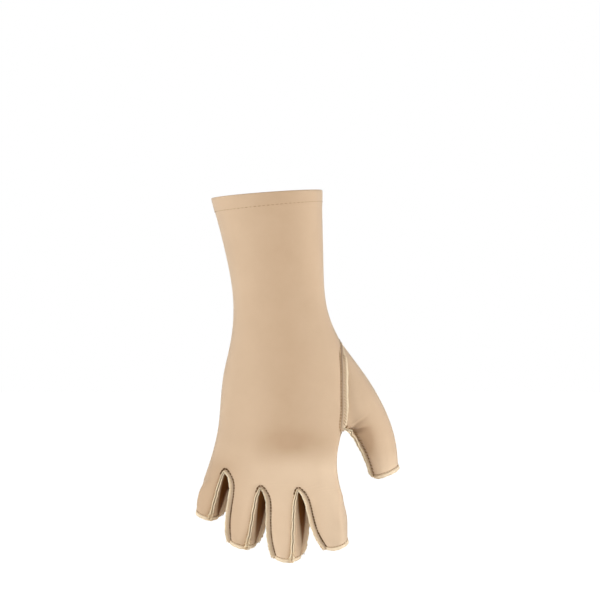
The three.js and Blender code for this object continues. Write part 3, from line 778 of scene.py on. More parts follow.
def press_folds(surface):
    """Moves the surface along its normals, and keeps each point's distance from a seam and its crease."""
    at, normals = surface["places"], surface["normals"]
    surface["from_seam"] = seam_distance(at)
    surface["crease"] = np.zeros(len(at))
    move = -SEAM_DRAW * np.exp(-((surface["from_seam"] / SEAM_DRAW_WIDTH) ** 2))
    for x0, down0, x1, down1, width, ridge, valley in PLEATS:
        along = np.array((x1 - x0, down0 - down1))
        length = np.linalg.norm(along)
        along /= length
        flat = at[:, [0, 2]] - (x0, -down0)
        run = flat @ along / length
        beside = (flat @ np.array((-along[1], along[0]))) / width
        strength = np.clip(1 - np.abs(run - PLEAT_PEAK) / PLEAT_REACH, 0, 1) ** PLEAT_FADE
        strength *= normals[:, 1] < 0.1  # only on the glove's back
        over = strength * ridge * np.exp(-((beside - RIDGE_SIDE) ** 2) * RIDGE_SHARPNESS)
        under = strength * valley * np.exp(-((beside + RIDGE_SIDE) ** 2) * VALLEY_SHARPNESS)
        move += over - under
        # the valley's depth, kept for the painted shade in the creases
        surface["crease"] += under
    surface["places"] = at + normals * move[:, None]


press_folds(broad_surface)
press_folds(fine_surface)
print("deepest crease:", round(fine_surface["crease"].max(), 2), "mm")

# %% [markdown]
# ## Shared surface effects
#
# Every finish on the glove is the same yarn in another place. A picture of knit would blur close up,
# so the effects are node groups. One draws knit loops from the panel's own map, which follows the
# cloth round the glove. One varies a colour softly, as dyed knit does, and darkens it between the
# loops as painted shade. They put out only masks, heights, roughness and colours. Each material keeps
# its own Principled BSDF.

# %% Helpers for node groups
MIX_FIRST, MIX_SECOND, MIX_RESULT = 6, 7, 2  # the colour sockets of a Mix node


def set_inputs(node, values):
    for title, value in values.items():
        node.inputs[title].default_value = value


def new_group(name, inputs, outputs):
    """A shader node group with named sockets, and its input and output nodes."""
    tree = bpy.data.node_groups.new(name, "ShaderNodeTree")
    for in_out, sockets in (("INPUT", inputs), ("OUTPUT", outputs)):
        for title, (kind, value) in sockets.items():
            socket = tree.interface.new_socket(title, in_out=in_out, socket_type="NodeSocket" + kind)
            if value is not None:
                socket.default_value = value
    return tree, tree.nodes.new("NodeGroupInput").outputs, tree.nodes.new("NodeGroupOutput").inputs


print("colour sockets of a Mix node:", MIX_FIRST, MIX_SECOND, MIX_RESULT)

# %% Knit loops
knit_group, given, made = new_group(
    "Knit loops",
    {"Place": ("Vector", None), "Wale": ("Float", 0.0006), "Course": ("Float", 0.0005)},
    {"Height": ("Float", None), "Yarn": ("Float", None)},
)
LEG_SLANT, LEG_RELIEF = 1.3, 0.28  # how steeply a loop's legs run, and how much they stand out

reckon, join = partial(math_node, knit_group), knit_group.links.new
split = add(knit_group, "ShaderNodeSeparateXYZ")
join(given["Place"], split.inputs[0])
wale = reckon("DIVIDE", split.outputs["X"], given["Wale"])
course = reckon("DIVIDE", split.outputs["Y"], given["Course"])
from_middle = reckon("ABSOLUTE", reckon("SUBTRACT", reckon("FRACT", wale), 0.5))
rib = reckon("COSINE", reckon("MULTIPLY", from_middle, math.pi))
slanted = reckon("ADD", course, reckon("MULTIPLY", from_middle, LEG_SLANT))
leg = reckon("COSINE", reckon("MULTIPLY", slanted, 2 * math.pi))
leg = reckon("ADD", reckon("MULTIPLY", leg, LEG_RELIEF), 1 - LEG_RELIEF)
height = reckon("MULTIPLY", rib, leg)
join(height, made["Height"])
join(reckon("POWER", height, 0.6), made["Yarn"])
print(knit_group.name, len(knit_group.nodes), "nodes")

# %% Dyed and shaded cloth
dye_shade_group, given, made = new_group(
    "Dyed cloth",
    {
        "Place": ("Vector", None),
        "Colour": ("Color", (0.55, 0.38, 0.24, 1)),
        "Second colour": ("Color", (0.72, 0.55, 0.38, 1)),
        "Tone": ("Float", 0.5),
        "Mottle": ("Float", 0.3),
        "Patch size": ("Float", 0.02),
        "Yarn": ("Float", 1.0),
        "Gap shade": ("Float", 0.8),
    },
    {"Colour": ("Color", None), "Roughness": ("Float", None)},
)
LEAST_ROUGH, ROUGH_RANGE = 0.72, 0.22

reckon, join = partial(math_node, dye_shade_group), dye_shade_group.links.new
patches = add(dye_shade_group, "ShaderNodeTexNoise", noise_dimensions="3D")
set_inputs(patches, {"Detail": 4, "Roughness": 0.6})
join(given["Place"], patches.inputs["Vector"])
join(reckon("DIVIDE", 1.0, given["Patch size"]), patches.inputs["Scale"])
spread = reckon("MULTIPLY", reckon("SUBTRACT", patches.outputs["Fac"], 0.5), given["Mottle"])
tint = add(dye_shade_group, "ShaderNodeMix", data_type="RGBA")
join(reckon("ADD", given["Tone"], spread), tint.inputs["Factor"])
join(given["Colour"], tint.inputs[MIX_FIRST])
join(given["Second colour"], tint.inputs[MIX_SECOND])
# painted shade between the knit's loops, where the yarn lies low
depth = reckon("MULTIPLY", given["Yarn"], reckon("SUBTRACT", 1.0, given["Gap shade"]))
lightness = reckon("ADD", given["Gap shade"], depth)
shade = add(dye_shade_group, "ShaderNodeMix", data_type="RGBA", blend_type="MULTIPLY")
shade.inputs["Factor"].default_value = 1
join(tint.outputs[MIX_RESULT], shade.inputs[MIX_FIRST])
join(lightness, shade.inputs[MIX_SECOND])
join(shade.outputs[MIX_RESULT], made["Colour"])
rough = reckon("ADD", LEAST_ROUGH, reckon("MULTIPLY", patches.outputs["Fac"], ROUGH_RANGE))
join(rough, made["Roughness"])
print(dye_shade_group.name, len(dye_shade_group.nodes), "nodes")

# %% [markdown]
# ## Finishes
#
# The knit is matt beige with a faint sheen from its nylon. The strips between the fingers are a
# shaded copy of the same knit in deep shadow, with hardly any sheen, which would turn them grey. The
# turned-out edges are cut, so they show the pale core of the yarn. Hems are folded knit and sit between
# the two. The thread of the finger seams has sunk into the cloth, and its dark brown is painted shade
# of the needle holes; the thread of the hems and the thumb is lighter, and the overcasting is pale. One
# colour for each piece would look like plastic, so two are mixed by a tone that is stored on the
# piece's own points: painted light and shade on the panels and the cuff, the cut yarn's pale core on
# the lips. A stored shade darkens them further, as painted shade.

# %% Knit, hem and cut-edge finishes
SHADE_COLOUR = (0.25, 0.125, 0.04, 1)  # what the deepest painted shade leaves of a colour
LOOP_HEIGHT = 0.00012
SHEEN_TINT = (1, 0.95, 0.87, 1)


def cloth_finish(name, colour, second, wale, course, gap_shade, relief, sheen, gloss=0.2):
    """A knit mixed from two colours by the piece's "tone" and darkened by the painted shade in its "shade".
    """
    finish = bpy.data.materials.new(name)
    finish.use_nodes = True
    tree = finish.node_tree
    join = tree.links.new
    shader = tree.nodes["Principled BSDF"]
    set_inputs(shader, {"Sheen Weight": sheen, "Sheen Roughness": 0.4, "Sheen Tint": SHEEN_TINT})
    shader.inputs["Specular IOR Level"].default_value = gloss
    loops = add(tree, "ShaderNodeGroup", node_tree=knit_group)
    set_inputs(loops, {"Wale": wale, "Course": course})
    join(add(tree, "ShaderNodeUVMap", uv_map="knit").outputs["UV"], loops.inputs["Place"])
    dye = add(tree, "ShaderNodeGroup", node_tree=dye_shade_group)
    set_inputs(dye, {"Colour": (*colour, 1), "Second colour": (*second, 1), "Gap shade": gap_shade})
    join(add(tree, "ShaderNodeTexCoord").outputs["Object"], dye.inputs["Place"])
    join(add(tree, "ShaderNodeAttribute", attribute_name="tone").outputs["Fac"], dye.inputs["Tone"])
    join(loops.outputs["Yarn"], dye.inputs["Yarn"])
    # painted shade: the stored shade multiplies the colour towards SHADE_COLOUR
    darker = add(tree, "ShaderNodeMix", data_type="RGBA", blend_type="MULTIPLY")
    darker.inputs[MIX_SECOND].default_value = SHADE_COLOUR
    join(add(tree, "ShaderNodeAttribute", attribute_name="shade").outputs["Fac"], darker.inputs["Factor"])
    join(dye.outputs["Colour"], darker.inputs[MIX_FIRST])
    join(darker.outputs[MIX_RESULT], shader.inputs["Base Color"])
    join(dye.outputs["Roughness"], shader.inputs["Roughness"])
    bump = add(tree, "ShaderNodeBump")
    set_inputs(bump, {"Strength": relief, "Distance": LOOP_HEIGHT})
    join(loops.outputs["Height"], bump.inputs["Height"])
    join(bump.outputs["Normal"], shader.inputs["Normal"])
    return finish


# the knit in painted shade, the knit in painted light (also the pale knit of hems and cut edges), and cut
# yarn's cream
SHADED_KNIT, LIT_AND_PALE_KNIT, CREAM = (0.53, 0.36, 0.225), (0.77, 0.585, 0.41), (0.95, 0.81, 0.58)
# two colours; a loop's width and height; painted shade between loops, relief, sheen and gloss
KNIT = cloth_finish("beige_knit", SHADED_KNIT, LIT_AND_PALE_KNIT, 0.0006, 0.0005, 0.84, 0.6, 0.55)
# a shaded copy of the knit for the strips between the fingers: hardly any sheen or gloss
STRIP_KNIT = cloth_finish("strip_knit", SHADED_KNIT, LIT_AND_PALE_KNIT, 0.0006, 0.0005, 0.84, 0.6, 0.03, 0.02)
HEM_KNIT = cloth_finish("folded_knit", LIT_AND_PALE_KNIT, CREAM, 0.0006, 0.0005, 0.82, 0.6, 0.4)
CUT_EDGE = cloth_finish("cut_edge", LIT_AND_PALE_KNIT, CREAM, 0.0007, 0.0009, 0.75, 0.9, 0.3)
print("finishes:", KNIT.name, STRIP_KNIT.name, HEM_KNIT.name, CUT_EDGE.name)


# %% Thread finishes
def thread_finish(name, colour):
    finish = bpy.data.materials.new(name)
    finish.use_nodes = True
    tree = finish.node_tree
    shader = tree.nodes["Principled BSDF"]
    shader.inputs["Specular IOR Level"].default_value = 0.05
    dye = add(tree, "ShaderNodeGroup", node_tree=dye_shade_group)
    paler = (*(min(1, 1.4 * c) for c in colour), 1)
    set_inputs(dye, {"Colour": (*colour, 1), "Second colour": paler, "Patch size": 0.002})
    tree.links.new(add(tree, "ShaderNodeTexCoord").outputs["Object"], dye.inputs["Place"])
    tree.links.new(dye.outputs["Colour"], shader.inputs["Base Color"])
    tree.links.new(dye.outputs["Roughness"], shader.inputs["Roughness"])
    return finish


# painted shade: near-black thread stands for the shadow in the finger seams' needle holes
HOLE_SHADE_THREAD = thread_finish("sunk_thread", (0.085, 0.04, 0.012))
HEM_THREAD = thread_finish("hem_thread", (0.27, 0.17, 0.085))
PALE_THREAD = thread_finish("pale_thread", (0.60, 0.45, 0.28))
print("threads:", HOLE_SHADE_THREAD.name, HEM_THREAD.name, PALE_THREAD.name)

# %% [markdown]
# ## Walls of the panels
#
# A panel needs an inside as well, because the cuff and the fingertips are open. Solidify would give
# each panel its own inner edge, and neighbours would cut into each other at the folded seams. Here
# the inner points follow the normals of the whole surface, so that both panels meet along every seam.

# %% Meshes from arrays
def finish_mesh(name, places_mm, polygons, finish, uv=None, smooth_angle=50):
    """A mesh object at the origin, from places in millimetres."""
    mesh = bpy.data.meshes.new(name)
    mesh.from_pydata((np.asarray(places_mm) * MM).tolist(), [], [list(p) for p in polygons])
    if uv is not None:
        mesh.uv_layers.new(name="knit").uv.foreach_set("vector", np.asarray(uv, np.float32).ravel())
    mesh.shade_smooth()
    mesh.set_sharp_from_angle(angle=math.radians(smooth_angle))
    mesh.materials.append(finish)
    piece = bpy.data.objects.new(name, mesh)
    scene.collection.objects.link(piece)
    return piece


def paint_points(piece, **values):
    """Stores a number for each point, such as its tone, for the finish to read."""
    for name, numbers in values.items():
        layer = piece.data.attributes.new(name, "FLOAT", "POINT")
        layer.data.foreach_set("value", np.asarray(numbers, np.float32))


def take_place(piece, node):
    """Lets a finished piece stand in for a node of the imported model."""
    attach(piece, "root")
    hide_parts(node)


print("nodes to replace:", len(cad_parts))


# %% Tone of the cloth: painted light and shade
def ease(value, start, end):
    """0 before the start, 1 after the end, and a smooth rise between them."""
    t = np.clip((value - start) / (end - start), 0, 1)
    return t * t * (3 - 2 * t)


def thumb_inside_shade(at):
    """1 on the inner side of the thumb, where painted shade darkens the cloth, and 0 well away from it."""
    return np.exp(-(((at[:, 0] - 69) / 7) ** 2) - ((-at[:, 2] - 178) / 13) ** 2)


def painted_light_tone(at, normals):
    """Painted light and shade as a tone: 0 in painted shade, 1 in painted light, as over the knuckles and
    fingers.
    """
    x, down = at[:, 0], -at[:, 2]
    # painted shade in the back's middle, its hollows and towards the little finger; painted light over the
    # knuckles and fingers
    on_back = ease(-normals[:, 1], 0.1, 0.7)
    past_knuckles = ease(down, 182, 198)  # from the knuckles down
    middle = np.exp(-(((x - 8 - 0.05 * down) / 22) ** 2)) * (1 - past_knuckles)  # along the back
    hollow = np.exp(-(((x - 18) / 24) ** 2) - ((down - 176) / 9) ** 2)  # over the knuckles' hollows
    outer_finger = ease(-x, 4, 36) * past_knuckles  # towards the little finger
    knuckles = np.exp(-(((x - 30) / 24) ** 2) - ((down - 196) / 13) ** 2)
    knuckles = knuckles + ease(x, 34, 44) * past_knuckles  # and down the index finger
    pale = 0.22 * past_knuckles + 0.14 * knuckles - 0.3 * middle - 0.34 * hollow - 0.5 * outer_finger
    return 0.52 + on_back * pale - thumb_inside_shade(at)


back_middle, towards_back = np.array([(8.0, -20, -120)]), np.array([(0.0, -1, 0)])
print("tone in the middle of the back:", painted_light_tone(back_middle, towards_back).round(2))

# %% Painted shade of the cloth
FIRST_STRIP = 2  # number of the first panel that lies between fingers
GAP_SHADE = 1.0  # how dark the painted shade makes these strips, away from their seams
SHADOW_SLOPES = (6.8, 6.8, 12.0)  # how far each strip's painted shade has drawn back from the seam at its hem
BESIDE_SHADE, BESIDE_WIDTH = 0.12, 1.6  # painted shade along the stitching


def painted_cloth_shade(number, at, from_seam, crease):
    """Painted shade beside the stitching, in creases, inside the thumb and on the strips between the
    fingers.
    """
    beside = BESIDE_SHADE * np.exp(-((from_seam / BESIDE_WIDTH) ** 2))
    beside = beside + BESIDE_SHADE * crease + BESIDE_SHADE * thumb_inside_shade(at)
    if number < FIRST_STRIP:
        return beside
    to_hem = (at[:, 2].max() - at[:, 2]) / np.ptp(at[:, 2])
    shadow_edge = 0.4 + SHADOW_SLOPES[number - FIRST_STRIP] * to_hem
    shadow_ramp = 2.2 + 2.3 * to_hem
    deep = ease((seam_distance(at, "seam_back") - shadow_edge) / shadow_ramp, 0, 1)
    deep = deep * ease(seam_distance(at, "seam_palm"), 0.3, 4.5)
    return beside + GAP_SHADE * deep * (1 - 0.35 * ease(to_hem, 0.35, 1))


print("shade in the strips:", GAP_SHADE)

# %% Build the panels
CLOTH = 1.0  # thickness of the knit, in mm
PULL_BACK = 0.12  # how far a panel's edge keeps from its neighbour's


def panel_piece(name, number, surface):
    """One panel with its inside and rim, and the area of its outside in square metres."""
    chosen = surface["panel"] == number
    quads, uv = surface["faces"][chosen], surface["knit"][chosen]
    ids, quads = np.unique(quads, return_inverse=True)
    quads = quads.reshape(-1, 4)
    outer, normals = surface["places"][ids], surface["normals"][ids]
    sides = sides_of(quads)
    key = np.sort(sides, axis=1) @ np.array([len(ids), 1])
    _, first, count = np.unique(key, return_index=True, return_counts=True)
    rim = sides[first[count == 1]]
    from_a, to_b = rim.T
    inward = np.zeros_like(outer)
    for end in (from_a, to_b):
        np.add.at(inward, end, np.cross(normals[end], outer[to_b] - outer[from_a]))
    size = np.linalg.norm(inward, axis=1)[:, None]
    outer = outer + np.where(size > 1e-6, inward / np.maximum(size, 1e-6), 0) * PULL_BACK
    inner = outer - normals * CLOTH
    n = len(ids)
    rim_faces = np.stack([to_b, from_a, from_a + n, to_b + n], axis=1)
    polygons = np.concatenate([quads, quads[:, ::-1] + n, rim_faces])
    knit_at = np.zeros((n, 2))
    knit_at[quads.ravel()] = uv.reshape(-1, 2)
    uv = np.concatenate([uv, uv[:, ::-1], knit_at[rim_faces % n]])
    finish = STRIP_KNIT if number >= FIRST_STRIP else KNIT
    piece = finish_mesh(name, np.vstack([outer, inner]), polygons, finish, uv)
    # painted shade, and a tone of painted light and shade, stored on the piece's points
    shade = painted_cloth_shade(number, outer, surface["from_seam"][ids], surface["crease"][ids])
    paint_points(piece, tone=np.tile(painted_light_tone(outer, normals), 2), shade=np.tile(shade, 2))
    a, b, c, d = (outer[quads[:, k]] for k in range(4))
    area = np.linalg.norm(np.cross(c - a, d - b), axis=1)
    return piece, float(area.sum() / 2) * MM * MM


panels = {}
for number, node in enumerate(PANELS):
    piece, area = panel_piece("knit_" + node, number, broad_surface if number == 0 else fine_surface)
    panels[node] = (piece, area)
    take_place(piece, node)
    print(node, len(piece.data.polygons), "faces,", round(area * 1e4), "square cm")

# %% [markdown]
# ## Seam lips
#
# The panels are sewn with their edges outside, so every seam shows two raw lips of knit that stand
# side by side with a dark slit between them. A curve with a bevel could make one round cord. Two
# lips need a section of their own, shaped like an M, which is swept along the seam's spline. Its
# height, lean and slit waver a little on the way, as hand-guided sewing does.

# %% The seams' own directions
on_panels = np.unique(fine_surface["faces"])
normal_tree = point_tree(fine_surface["places"][on_panels], on_panels)


def smooth_rows(rows, passes, closed):
    """Each row averaged with its neighbours, over and over."""
    for _ in range(passes):
        before, after = (rows[-1:], rows[:1]) if closed else (rows[:1], rows[-1:])
        padded = np.vstack([before, rows, after])
        rows = (padded[:-2] + 2 * padded[1:-1] + padded[2:]) / 4
    return rows


def directions(line, closed):
    """Up and sideways unit vectors at each point of a line on the cloth."""
    ring = np.vstack([line[-1:], line, line[:1]]) if closed else run_on(line)
    along = ring[2:] - ring[:-2]
    along /= np.linalg.norm(along, axis=1)[:, None]
    up = np.array([fine_surface["normals"][normal_tree.find(place)[1]] for place in line])
    up = smooth_rows(up, 6, closed)
    up = up - along * (up * along).sum(1)[:, None]
    up /= np.linalg.norm(up, axis=1)[:, None]
    return up, np.cross(along, up)


print("points to find normals at:", len(on_panels))

# %% Sweep a section along a line
def sweep(name, rings, closed, finish, smooth_angle=60):
    """A closed tube from rings of points in millimetres, with a knit map along and around it."""
    stations, sides = rings.shape[:2]
    step, side = np.arange(stations if closed else stations - 1), np.arange(sides)
    middle = rings.mean(1)
    run = distance_along(np.vstack([middle, middle[:1]]))
    round_it = distance_along(np.vstack([rings[0], rings[0][:1]]))
    quads, uv = [], []
    for i, j in ((step, side), (step + 1, side), (step + 1, side + 1), (step, side + 1)):
        quads.append(((i % stations)[:, None] * sides + j % sides).ravel())
        uv.append(np.stack([np.repeat(run[i], sides), np.tile(round_it[j], len(i))], axis=1))
    polygons, maps = np.stack(quads, axis=1).tolist(), [*(np.stack(uv, axis=1) * MM).reshape(-1, 2)]
    if not closed:
        last = (stations - 1) * sides
        polygons += [list(range(sides)), list(range(last, last + sides))[::-1]]
        maps += [(0.0, 0.0)] * sides * 2
    return finish_mesh(name, rings.reshape(-1, 3), polygons, finish, np.array(maps), smooth_angle)


def waver(along, seed, lengths=(11.0, 4.7, 2.3)):
    """A smooth wandering value between about -1 and 1, the same each time."""
    turns = [np.sin(2 * np.pi * along / length + seed * (1.7 + k)) for k, length in enumerate(lengths)]
    return turns[0] * 0.5 + turns[1] * 0.3 + turns[2] * 0.2


print("a wavering line:", waver(np.arange(0.0, 12, 3), 1).round(2))

# %% Section of the lips
LEFT_LIP = [  # sideways and up in mm, which lip (-1, 0 or 1), tone, painted shade
    (-0.30, -0.60, 0, 0.1, 0.3),
    (-0.62, 0.45, 0, 0.1, 0.12),
    (-0.95, 1.50, -1, 0.3, 0),
    (-1.14, 2.30, -1, 0.8, 0),
    (-1.02, 2.70, -1, 1.0, 0),
    (-0.62, 2.70, -1, 1.0, 0),
    (-0.38, 2.34, -1, 0.6, 0.2),
    (-0.17, 1.75, 0, 0.2, 0.6),
]
# painted shade is deepest in the slit between the lips
SLIT = (0.0, 1.30, 0, 0.0, 0.8)
RIGHT_LIP = [(-sideways, up, -lip, *looks) for sideways, up, lip, *looks in reversed(LEFT_LIP)]
LIP_SECTION = np.array([*LEFT_LIP, SLIT, *RIGHT_LIP])
print("points of a lip's section:", len(LIP_SECTION))

# %% How the lips stand
LIP_STEP = 0.7
LIP_ENDS = 2.2  # how far an open seam runs on over the hem
FRAYED = 14.0  # length of the loose stretch at its end, where the slit closes up
BASE_LEAN, INNER_LEAN, FAR_LEAN = 66.0, -15.0, 22.0  # thumb's base, thumb's inner edge, far finger


def crotch_of(name, line):
    """The place of a finger seam where it passes from one finger to the next."""
    ids = seams[name][0]
    return int(np.linalg.norm(line - places[ids[len(ids) // 2]], axis=1).argmin())


def lean_along(name, line):
    """Lean of the lips in degrees: to the thumb at its base, to the gap on the far finger's edge."""
    if name.startswith("seam_thumb"):
        return np.full(len(line), BASE_LEAN if name == "seam_thumb_base" else INNER_LEAN)
    past = np.arange(len(line)) - crotch_of(name, line)
    return FAR_LEAN * ease(past, -4, 8) if "back" in name else np.zeros(len(line))


def lip_size(name, line, up, run):
    """Size of the lips along a seam, and the distance of each place from an end that frays."""
    size, ends = np.ones(len(line)), np.minimum(run, run[-1] - run)
    if name == "seam_thumb_base":  # it flattens on the thumb's outer side
        size, ends = 1.2 - ease(up[:, 0], 0.35, 0.85), np.full(len(line), 2 * FRAYED)
    elif name == "seam_thumb_inner":  # it grows out of the base seam
        size, ends = ease(run, -2, 6), run[-1] - run
    elif name.startswith("seam_back"):  # it is drawn small in the crotch
        past = (np.arange(len(line)) - crotch_of(name, line)) * LIP_STEP
        size = 1 - 0.35 * np.exp(-((past / 7) ** 2))
    return size, ends


print("lean at the thumb's base:", BASE_LEAN, "degrees")

# %% Wavering and fraying
FRAY_LENGTHS = (3.1, 1.9, 1.3), (3.7, 2.3, 1.5)  # short waves of the lips' height and spread, in mm


def lip_rings(line, up, side, run, ends, loose, size, seed):
    """The section at each place of a seam, with lips that waver, sink at the ends and fray there."""
    sideways, high, lip = LIP_SECTION[:, :3].T
    wander = lambda more, *lengths: waver(run, seed + more, *lengths)[:, None]
    loose = loose[:, None]
    heights = 1 + 0.08 * wander(0) + 0.08 * wander(3) * lip  # the two lips together, and each alone
    heights = heights * (1 - 0.45 * ease(5 - ends, 0, 5)[:, None])  # low over the hems
    heights = heights * (1 + 0.4 * loose * wander(7, FRAY_LENGTHS[0]) * (1 + lip))
    spreads = 1 + 0.18 * wander(5) * np.abs(lip)
    spreads = spreads * (1 + 0.6 * loose * (1 + wander(9, FRAY_LENGTHS[1])) * np.abs(lip))
    out = up[:, None] * (high * heights)[..., None]
    over = side[:, None] * (sideways * spreads)[..., None]
    return line[:, None] + (out + over) * size[:, None, None]


print("loose stretch at a seam's end:", FRAYED, "mm")

# %% Lips along every seam
def lengthened(line, before, after):
    """An open line that runs straight on at its ends."""
    first, last = line[0] - line[1], line[-1] - line[-2]
    start = line[0] + first / np.linalg.norm(first) * before
    return np.vstack([start, line, line[-1] + last / np.linalg.norm(last) * after])


CALM = 0.15  # how little the thumb's seams fray
seam_frames = {}
for seed, (name, (_, closed)) in enumerate(seams.items()):
    on_thumb, inner = name.startswith("seam_thumb"), name == "seam_thumb_inner"
    line = seam_lines[name]
    if not closed:
        line = lengthened(line, 0 if inner else LIP_ENDS, LIP_ENDS)
    line, run = evenly(line, LIP_STEP, closed)
    line = smooth_rows(line, 12 if inner else 3, closed)
    up, side = directions(line, closed)
    lean = lean_along(name, line) + (2 if on_thumb else 6) * waver(run, seed + 1.4)
    turn = np.radians(lean)[:, None]
    lip_up = up * np.cos(turn) + side * np.sin(turn)
    lip_side = side * np.cos(turn) - up * np.sin(turn)
    size, ends = lip_size(name, line, up, run)
    seam_frames[name] = (line, side, lip_up, lip_side, size, closed)
    loose = ease(FRAYED - ends, 0, FRAYED) * (CALM if on_thumb else 1)
    rings = lip_rings(line, lip_up, lip_side, run, ends, loose, size, seed + 1.0)
    lips = sweep("lips_" + name, rings, closed, CUT_EDGE)
    # painted shade of the slit and the lips' feet, fainter where the ends fray
    tone, shade = LIP_SECTION[:, 3:].T
    paint_points(lips, tone=np.tile(tone, len(line)), shade=np.outer(1 - 0.8 * loose, shade).ravel())
    take_place(lips, name)
    print(name, round(run[-1]), "mm,", len(lips.data.polygons), "faces")

# %% [markdown]
# ## Hems
#
# Each fingertip ends in a narrow hem: the knit is turned once and stitched down, which leaves a soft
# round band a little thicker than the cloth. The cuff's hem is deeper and laps flat over the sleeve's
# end, so only its folded rim, its lower edge and a row of stitches show. Solidify on the panels could
# thicken their ends, but not fold them. So both kinds are sections swept round an open end.

# %% Fingertip hems
HEM_SECTION = np.array([  # out from the cloth and on past the panel's end, in mm
    (0.05, 0.10), (0.34, 0.40), (0.50, 1.00), (0.50, 1.80), (0.32, 2.45), (-0.10, 2.80), (-0.75, 2.80),
    (-1.30, 2.40), (-1.55, 1.50), (-1.50, 0.50), (-1.45, -0.90), (-1.12, -0.90), (-1.08, 0.08),
])
hem_rings = {}


def ring_frame(ids, on):
    """An open end as a smooth ring, with the directions out of it."""
    line, _ = evenly(spline(places[ids], True), 0.6, True)
    out = line - line.mean(0)
    out = smooth_rows(out - np.outer(out @ on, on), 2, True)
    return line, out / np.linalg.norm(out, axis=1)[:, None]


open_ends = {name: (rows[-1], on) for name, (rows, on) in zip(NAMES, fingers)}
open_ends["thumb"] = (thumb_rows[-1], thumb_along)
for seed, (name, (ids, on)) in enumerate(open_ends.items()):
    line, out = ring_frame(ids, on)
    turn = np.linspace(0, 2 * np.pi, len(line), endpoint=False)
    wave = (0.10 * np.sin(5 * turn + seed) + 0.07 * np.sin(11 * turn + 2 * seed))[:, None]  # in mm
    high, far = HEM_SECTION.T
    outwards = out[:, None] * (high + wave * (high > 0))[..., None]
    onwards = on * (far + wave * (far > 2))[..., None]
    rings = line[:, None] + outwards + onwards
    hem = sweep("hem_band_" + name, rings[:, ::-1], True, HEM_KNIT)
    paint_points(hem, tone=np.full(len(hem.data.vertices), 0.5))
    take_place(hem, "hem_" + name)
    hem_rings[name] = (line, on)
    print("hem", name, len(line), "stations,", len(hem.data.polygons), "faces")

# %% Cuff hem
CUFF_SECTION = np.array([  # out from the sleeve, down from the mouth
    (-0.16, 11.60), (0.04, 10.90), (0.05, 9.80), (0.07, 8.60), (0.10, 6.50), (0.10, 3.50), (0.07, 1.50),
    (-0.02, 0.50), (-0.40, 0.08), (-0.85, 0.08), (-1.25, 0.45), (-1.45, 1.50), (-1.50, 6.00),
    (-1.50, 12.60), (-1.16, 12.60), (-1.12, 10.36), (-0.30, 10.36), (-0.22, 11.30),
])
CUFF_STATIONS = 260
SPLINE_SHRINK = 0.12  # how far the panel's rounded surface lies inside its net


def sleeve_ring(down, out, tilt=0):
    """A ring round the sleeve at a depth, moved out from its cloth, and its outward directions."""
    angles = np.linspace(-np.pi, np.pi, CUFF_STATIONS, endpoint=False)
    ring = np.array([hand_point(down + tilt * math.cos(a), a) for a in angles])
    along = np.roll(ring, -1, 0) - np.roll(ring, 1, 0)
    outwards = np.stack([along[:, 1], -along[:, 0], 0 * along[:, 0]], axis=1)
    outwards /= np.linalg.norm(outwards, axis=1)[:, None]
    return ring + outwards * (out - SPLINE_SHRINK), outwards


cuff_rings = np.stack([sleeve_ring(down, out)[0] for out, down in CUFF_SECTION], axis=1)
cuff = sweep("hem_band_cuff", cuff_rings, True, KNIT)
cuff_out = np.repeat(sleeve_ring(0, 0)[1], len(CUFF_SECTION), axis=0)
# a tone of painted light and shade, as on the panels
paint_points(cuff, tone=painted_light_tone(cuff_rings.reshape(-1, 3), cuff_out))
take_place(cuff, "cuff_hem")
print("cuff hem:", len(cuff.data.polygons), "faces")

# %% [markdown]
# ## Rows of stitches
#
# A stitch is a short bow of thread, and a seam has hundreds of them at even steps. That is work for
# Geometry Nodes: one tree takes a line, spaces points along it, and lays a bow of thread on each,
# turned to the line and standing on the cloth. Spacing, length, thickness, slant and jitter are
# inputs, so the sunk lockstitch, the hems and the overcasting all come from the same tree. An Array
# modifier could repeat a stitch too, but it can't jitter each one or turn it to the cloth.

# %% The stitch tree
STITCH_SIZES = {  # inputs of the tree, and what they are when a row doesn't set them
    "Spacing": 0.0015,
    "Stitch length": 0.001,
    "Thread": 0.0004,
    "Bow": 0.0002,
    "Slant": 0.0,
    "Jitter": 0.1,
}
BOW_STEPS, THREAD_SIDES = 4, 5

stitch_tree = bpy.data.node_groups.new("Row of stitches", "GeometryNodeTree")
take = partial(stitch_tree.interface.new_socket, in_out="INPUT")
take("Line", socket_type="NodeSocketGeometry")
for title, value in STITCH_SIZES.items():
    take(title, socket_type="NodeSocketFloat").default_value = value
take("Seed", socket_type="NodeSocketInt")
take("Finish", socket_type="NodeSocketMaterial")
stitch_tree.interface.new_socket("Stitches", in_out="OUTPUT", socket_type="NodeSocketGeometry")
ask = stitch_tree.nodes.new("NodeGroupInput").outputs
give = stitch_tree.nodes.new("NodeGroupOutput").inputs
node, reckon, join = partial(add, stitch_tree), partial(math_node, stitch_tree), stitch_tree.links.new

